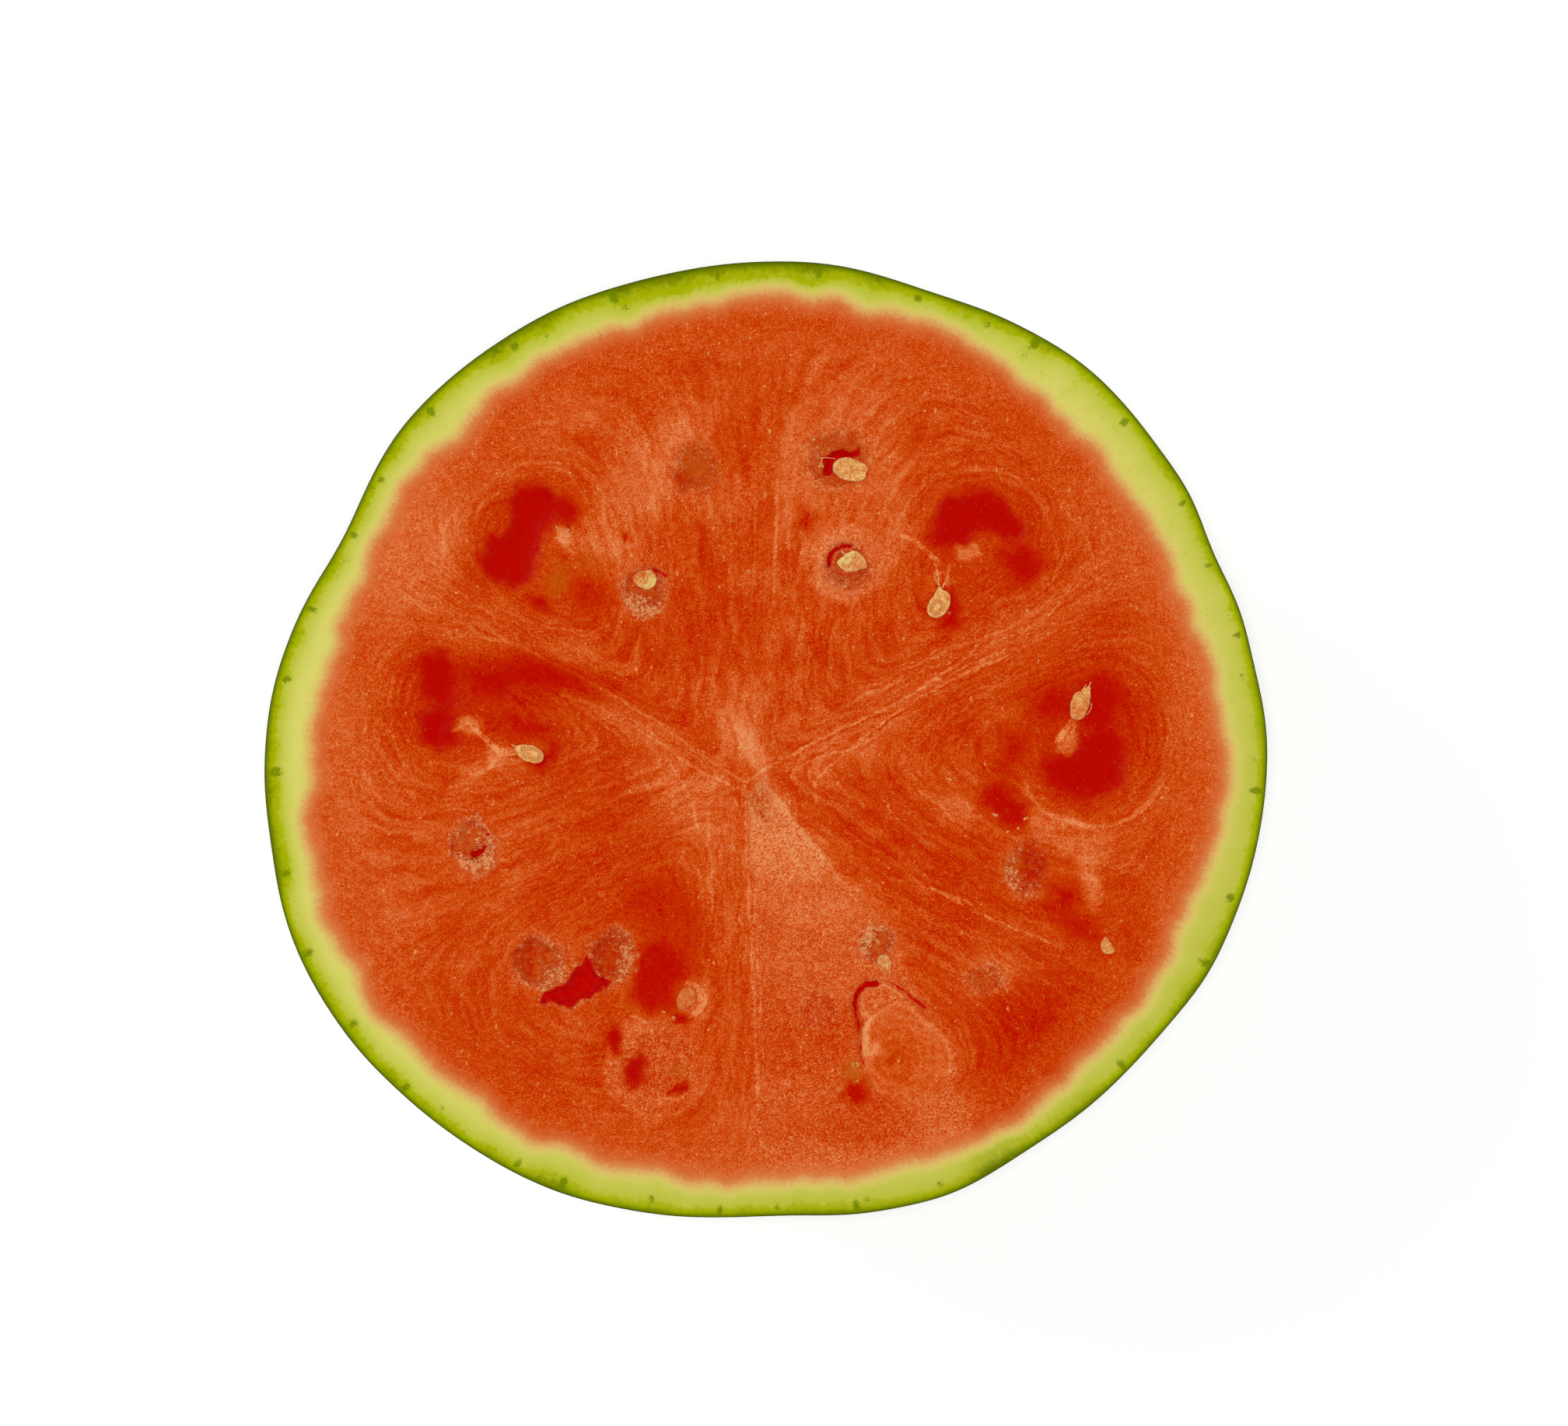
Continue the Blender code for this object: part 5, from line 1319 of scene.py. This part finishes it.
    height = grain * (fine * 0.8 + grit * 0.3 + cells * 0.8) + along * streak * 1.2 + glint_speck * 0.6
    height = height + crumb * 0.5 + pit * lump * 1.0
    height = height * to_flesh + hairs * 0.25
    roughness = 0.36 + fine * 0.4 - red * 0.08
    return f.finish(
        Base_Color=colour, Roughness=roughness.clamped(), Normal=f.bump(height, 0.55, 0.20 * MM),
        Specular_IOR_Level=0.06,
    )


def skin_finish():
    """Dark green stripes and a net of veins on paler green, yellowish where the fruit lay on the ground."""
    f = Finish("striped_skin")
    place = f.place()
    x, y, z = f.parts(place)
    slow = f.noise(place, 0.045, 3.0, 0.6)
    quick = f.noise(place, 0.20, 4.0, 0.65)
    fine = f.noise(place, 0.9, 3.0, 0.6)
    at = y.math("ARCTAN2", y, x) * (STRIPES / TURN) + (slow - 0.5) * 0.9 + (quick - 0.5) * 0.55
    beat = at.math("PINGPONG", at, 0.5) * 2
    dark = (beat + (quick - 0.5) * 0.5).above(0.46, 0.16)
    net = 1 - f.cells(place, 0.16, feature="DISTANCE_TO_EDGE").above(0.01, 0.10)
    pale = f.ramp(fine, ((0.3, (118, 142, 34)), (0.7, (150, 170, 62))))
    deep = f.ramp(fine + (slow - 0.5), ((0.3, (24, 52, 4)), (0.7, (46, 80, 10))))
    colour = f.mix((dark + net * 0.35 * (quick + 0.2)).clamped(), pale, deep)
    ground = (1 - z.above(6.0, 26.0)) * (0.4 + slow * 0.8)
    colour = f.mix(ground.clamped() * 0.75, colour, rgb(206, 196, 120))
    dots = f.cells(place, 0.5)
    colour = f.mix((1 - dots.above(0.08, 0.12)) * 0.25, colour, rgb(176, 190, 110))
    height = fine * 0.4 + quick * 0.9 - dots.above(0.05, 0.2) * 0.1
    return f.finish(
        Base_Color=colour, Roughness=0.34 + (fine - 0.5) * 0.2, Normal=f.bump(height, 0.4, 0.25 * MM),
        Specular_IOR_Level=0.4,
    )


def seed_finish():
    """A pale brown coat with a darker welt, broken into straw crumbs or lying under a film of flesh. A pale
    band round its edge is a painted highlight.
    """
    f = Finish("seed_coat")
    place = f.place()
    welt, edge, pale = f.painted("welt"), f.painted("edge"), f.painted("pale")
    fine = f.noise(place, 3.4, 3.0, 0.65)
    patch = f.noise(place, 0.9, 2.0, 0.5)
    shade = (patch - 0.5) * 0.9 + (fine - 0.5) * 1.6 + 0.5
    colour = f.ramp(shade, ((0.28, (218, 122, 50)), (0.5, (231, 158, 86)), (0.74, (246, 204, 130))))
    line = (1 - ((welt - 0.16).abs() / 0.15).clamped()) * f.painted("mark")
    colour = f.mix(line * (0.3 + shade * 0.8).clamped(), colour, rgb(180, 88, 22))
    # painted highlight: a pale band round the seed's edge
    rim = edge.above(0.80, 0.12) * (shade * 1.4 - 0.1).clamped() * (1 - pale.abs())
    colour = f.mix(rim * 0.7, colour, rgb(246, 212, 140))
    crumbs = ((fine - 0.5) * 3.0 + pale * 0.8 - 0.05).clamped() * pale.above(0.2, 0.1)
    colour = f.mix(crumbs, colour, rgb(238, 226, 134))
    gaps = (patch - 0.5) * 4.0 + (fine - 0.5) * 4.0 + 1.15 - pale * 1.1
    under = f.ramp(fine, ((0.35, (206, 104, 44)), (0.65, (230, 150, 88))))
    colour = f.mix(gaps.clamped() * pale.above(0.1, 0.1), colour, under)
    film = f.ramp(shade, ((0.28, (208, 78, 22)), (0.72, (226, 130, 64))))
    colour = f.mix((pale * -0.95).clamped(), colour, film)
    height = fine * 0.5 + patch * 0.6
    return f.finish(
        Base_Color=colour, Roughness=0.40 + (fine - 0.5) * 0.2, Normal=f.bump(height, 0.5, 0.12 * MM),
        Specular_IOR_Level=0.25,
    )


def thread_finish():
    f = Finish("stalk_thread")
    fine = f.noise(f.place(), 2.6, 2.0, 0.5)
    colour = f.ramp(fine, ((0.3, (226, 118, 66)), (0.5, (236, 158, 96)), (0.7, (242, 214, 140))))
    return f.finish(Base_Color=colour, Roughness=0.36 + (fine - 0.5) * 0.2, Specular_IOR_Level=0.3)


def floor_finish():
    f = Finish("pale_floor")
    return f.finish(Base_Color=(0.93, 0.93, 0.93, 1.0), Roughness=0.9, Specular_IOR_Level=0.0)


# ---------------------------------------------------------------- stage


def make_floor(material):
    bm = bmesh.new()
    bmesh.ops.create_grid(bm, x_segments=1, y_segments=1, size=12.0)
    mesh_object("floor", bm, material)


def make_light(name, kind, place, energy, size=None, angle=None, glossy=True):
    light = bpy.data.lights.new(name, kind)
    light.energy = energy
    if size:
        light.size = size
    if angle is not None:
        light.angle = math.radians(angle)
    made = new_object(name, light)
    made.location = place
    made.rotation_mode = "QUATERNION"
    made.rotation_quaternion = Vector(place).to_track_quat("Z", "Y")
    made.visible_camera = False
    made.visible_glossy = glossy


def make_sky():
    """White overhead, dark grey at the horizon."""
    world = bpy.data.worlds.new("studio")
    bpy.context.scene.world = world
    world.use_nodes = True
    new = world.node_tree.nodes.new
    back = world.node_tree.nodes["Background"]
    where, turn = new("ShaderNodeTexCoord"), new("ShaderNodeMapping")
    sky, shade = new("ShaderNodeTexGradient"), new("ShaderNodeValToRGB")
    turn.inputs["Rotation"].default_value = (0.0, math.pi / 2, 0.0)
    for stop, place, grey in zip(shade.color_ramp.elements, (0.45, 0.72), (1.0, 0.03)):
        stop.position = place
        stop.color = (grey, grey, grey, 1.0)
    for start, end in (
        (where.outputs["Generated"], turn.inputs["Vector"]), (turn.outputs["Vector"], sky.inputs["Vector"]),
        (sky.outputs["Fac"], shade.inputs["Fac"]), (shade.outputs["Color"], back.inputs["Color"]),
    ):
        world.node_tree.links.new(start, end)
    back.inputs["Strength"].default_value = 0.55


def make_lights():
    make_sky()
    make_light("overhead", "SUN", (0.0, 0.0, 2.0), 2.62, angle=7.0, glossy=False)
    make_light("window_left", "AREA", (-1.5, 0.9, 1.6), 9.0, size=1.2)
    make_light("window_right", "AREA", (1.6, -0.8, 1.2), 4.0, size=1.2)


def make_camera():
    """Straight down on the cut face, from far enough that the view is nearly parallel."""
    camera = bpy.data.cameras.new("camera")
    camera.lens = 300.0
    camera.sensor_width = 36.0
    camera.clip_end = 20.0
    made = new_object("camera", camera)
    distance = VIEW_WIDTH * camera.lens / camera.sensor_width
    made.location = (*VIEW_CENTRE, FACE_Z + distance)
    bpy.context.scene.camera = made


make_camera()
make_floor(floor_finish())
make_lights()
bpy.context.scene.view_settings.view_transform = "Standard"
make_cut_face(flesh_finish())
make_skin(skin_finish())
coat = seed_finish()
for seed in SEEDS:
    make_seed(seed, coat)
make_strands(thread_finish())
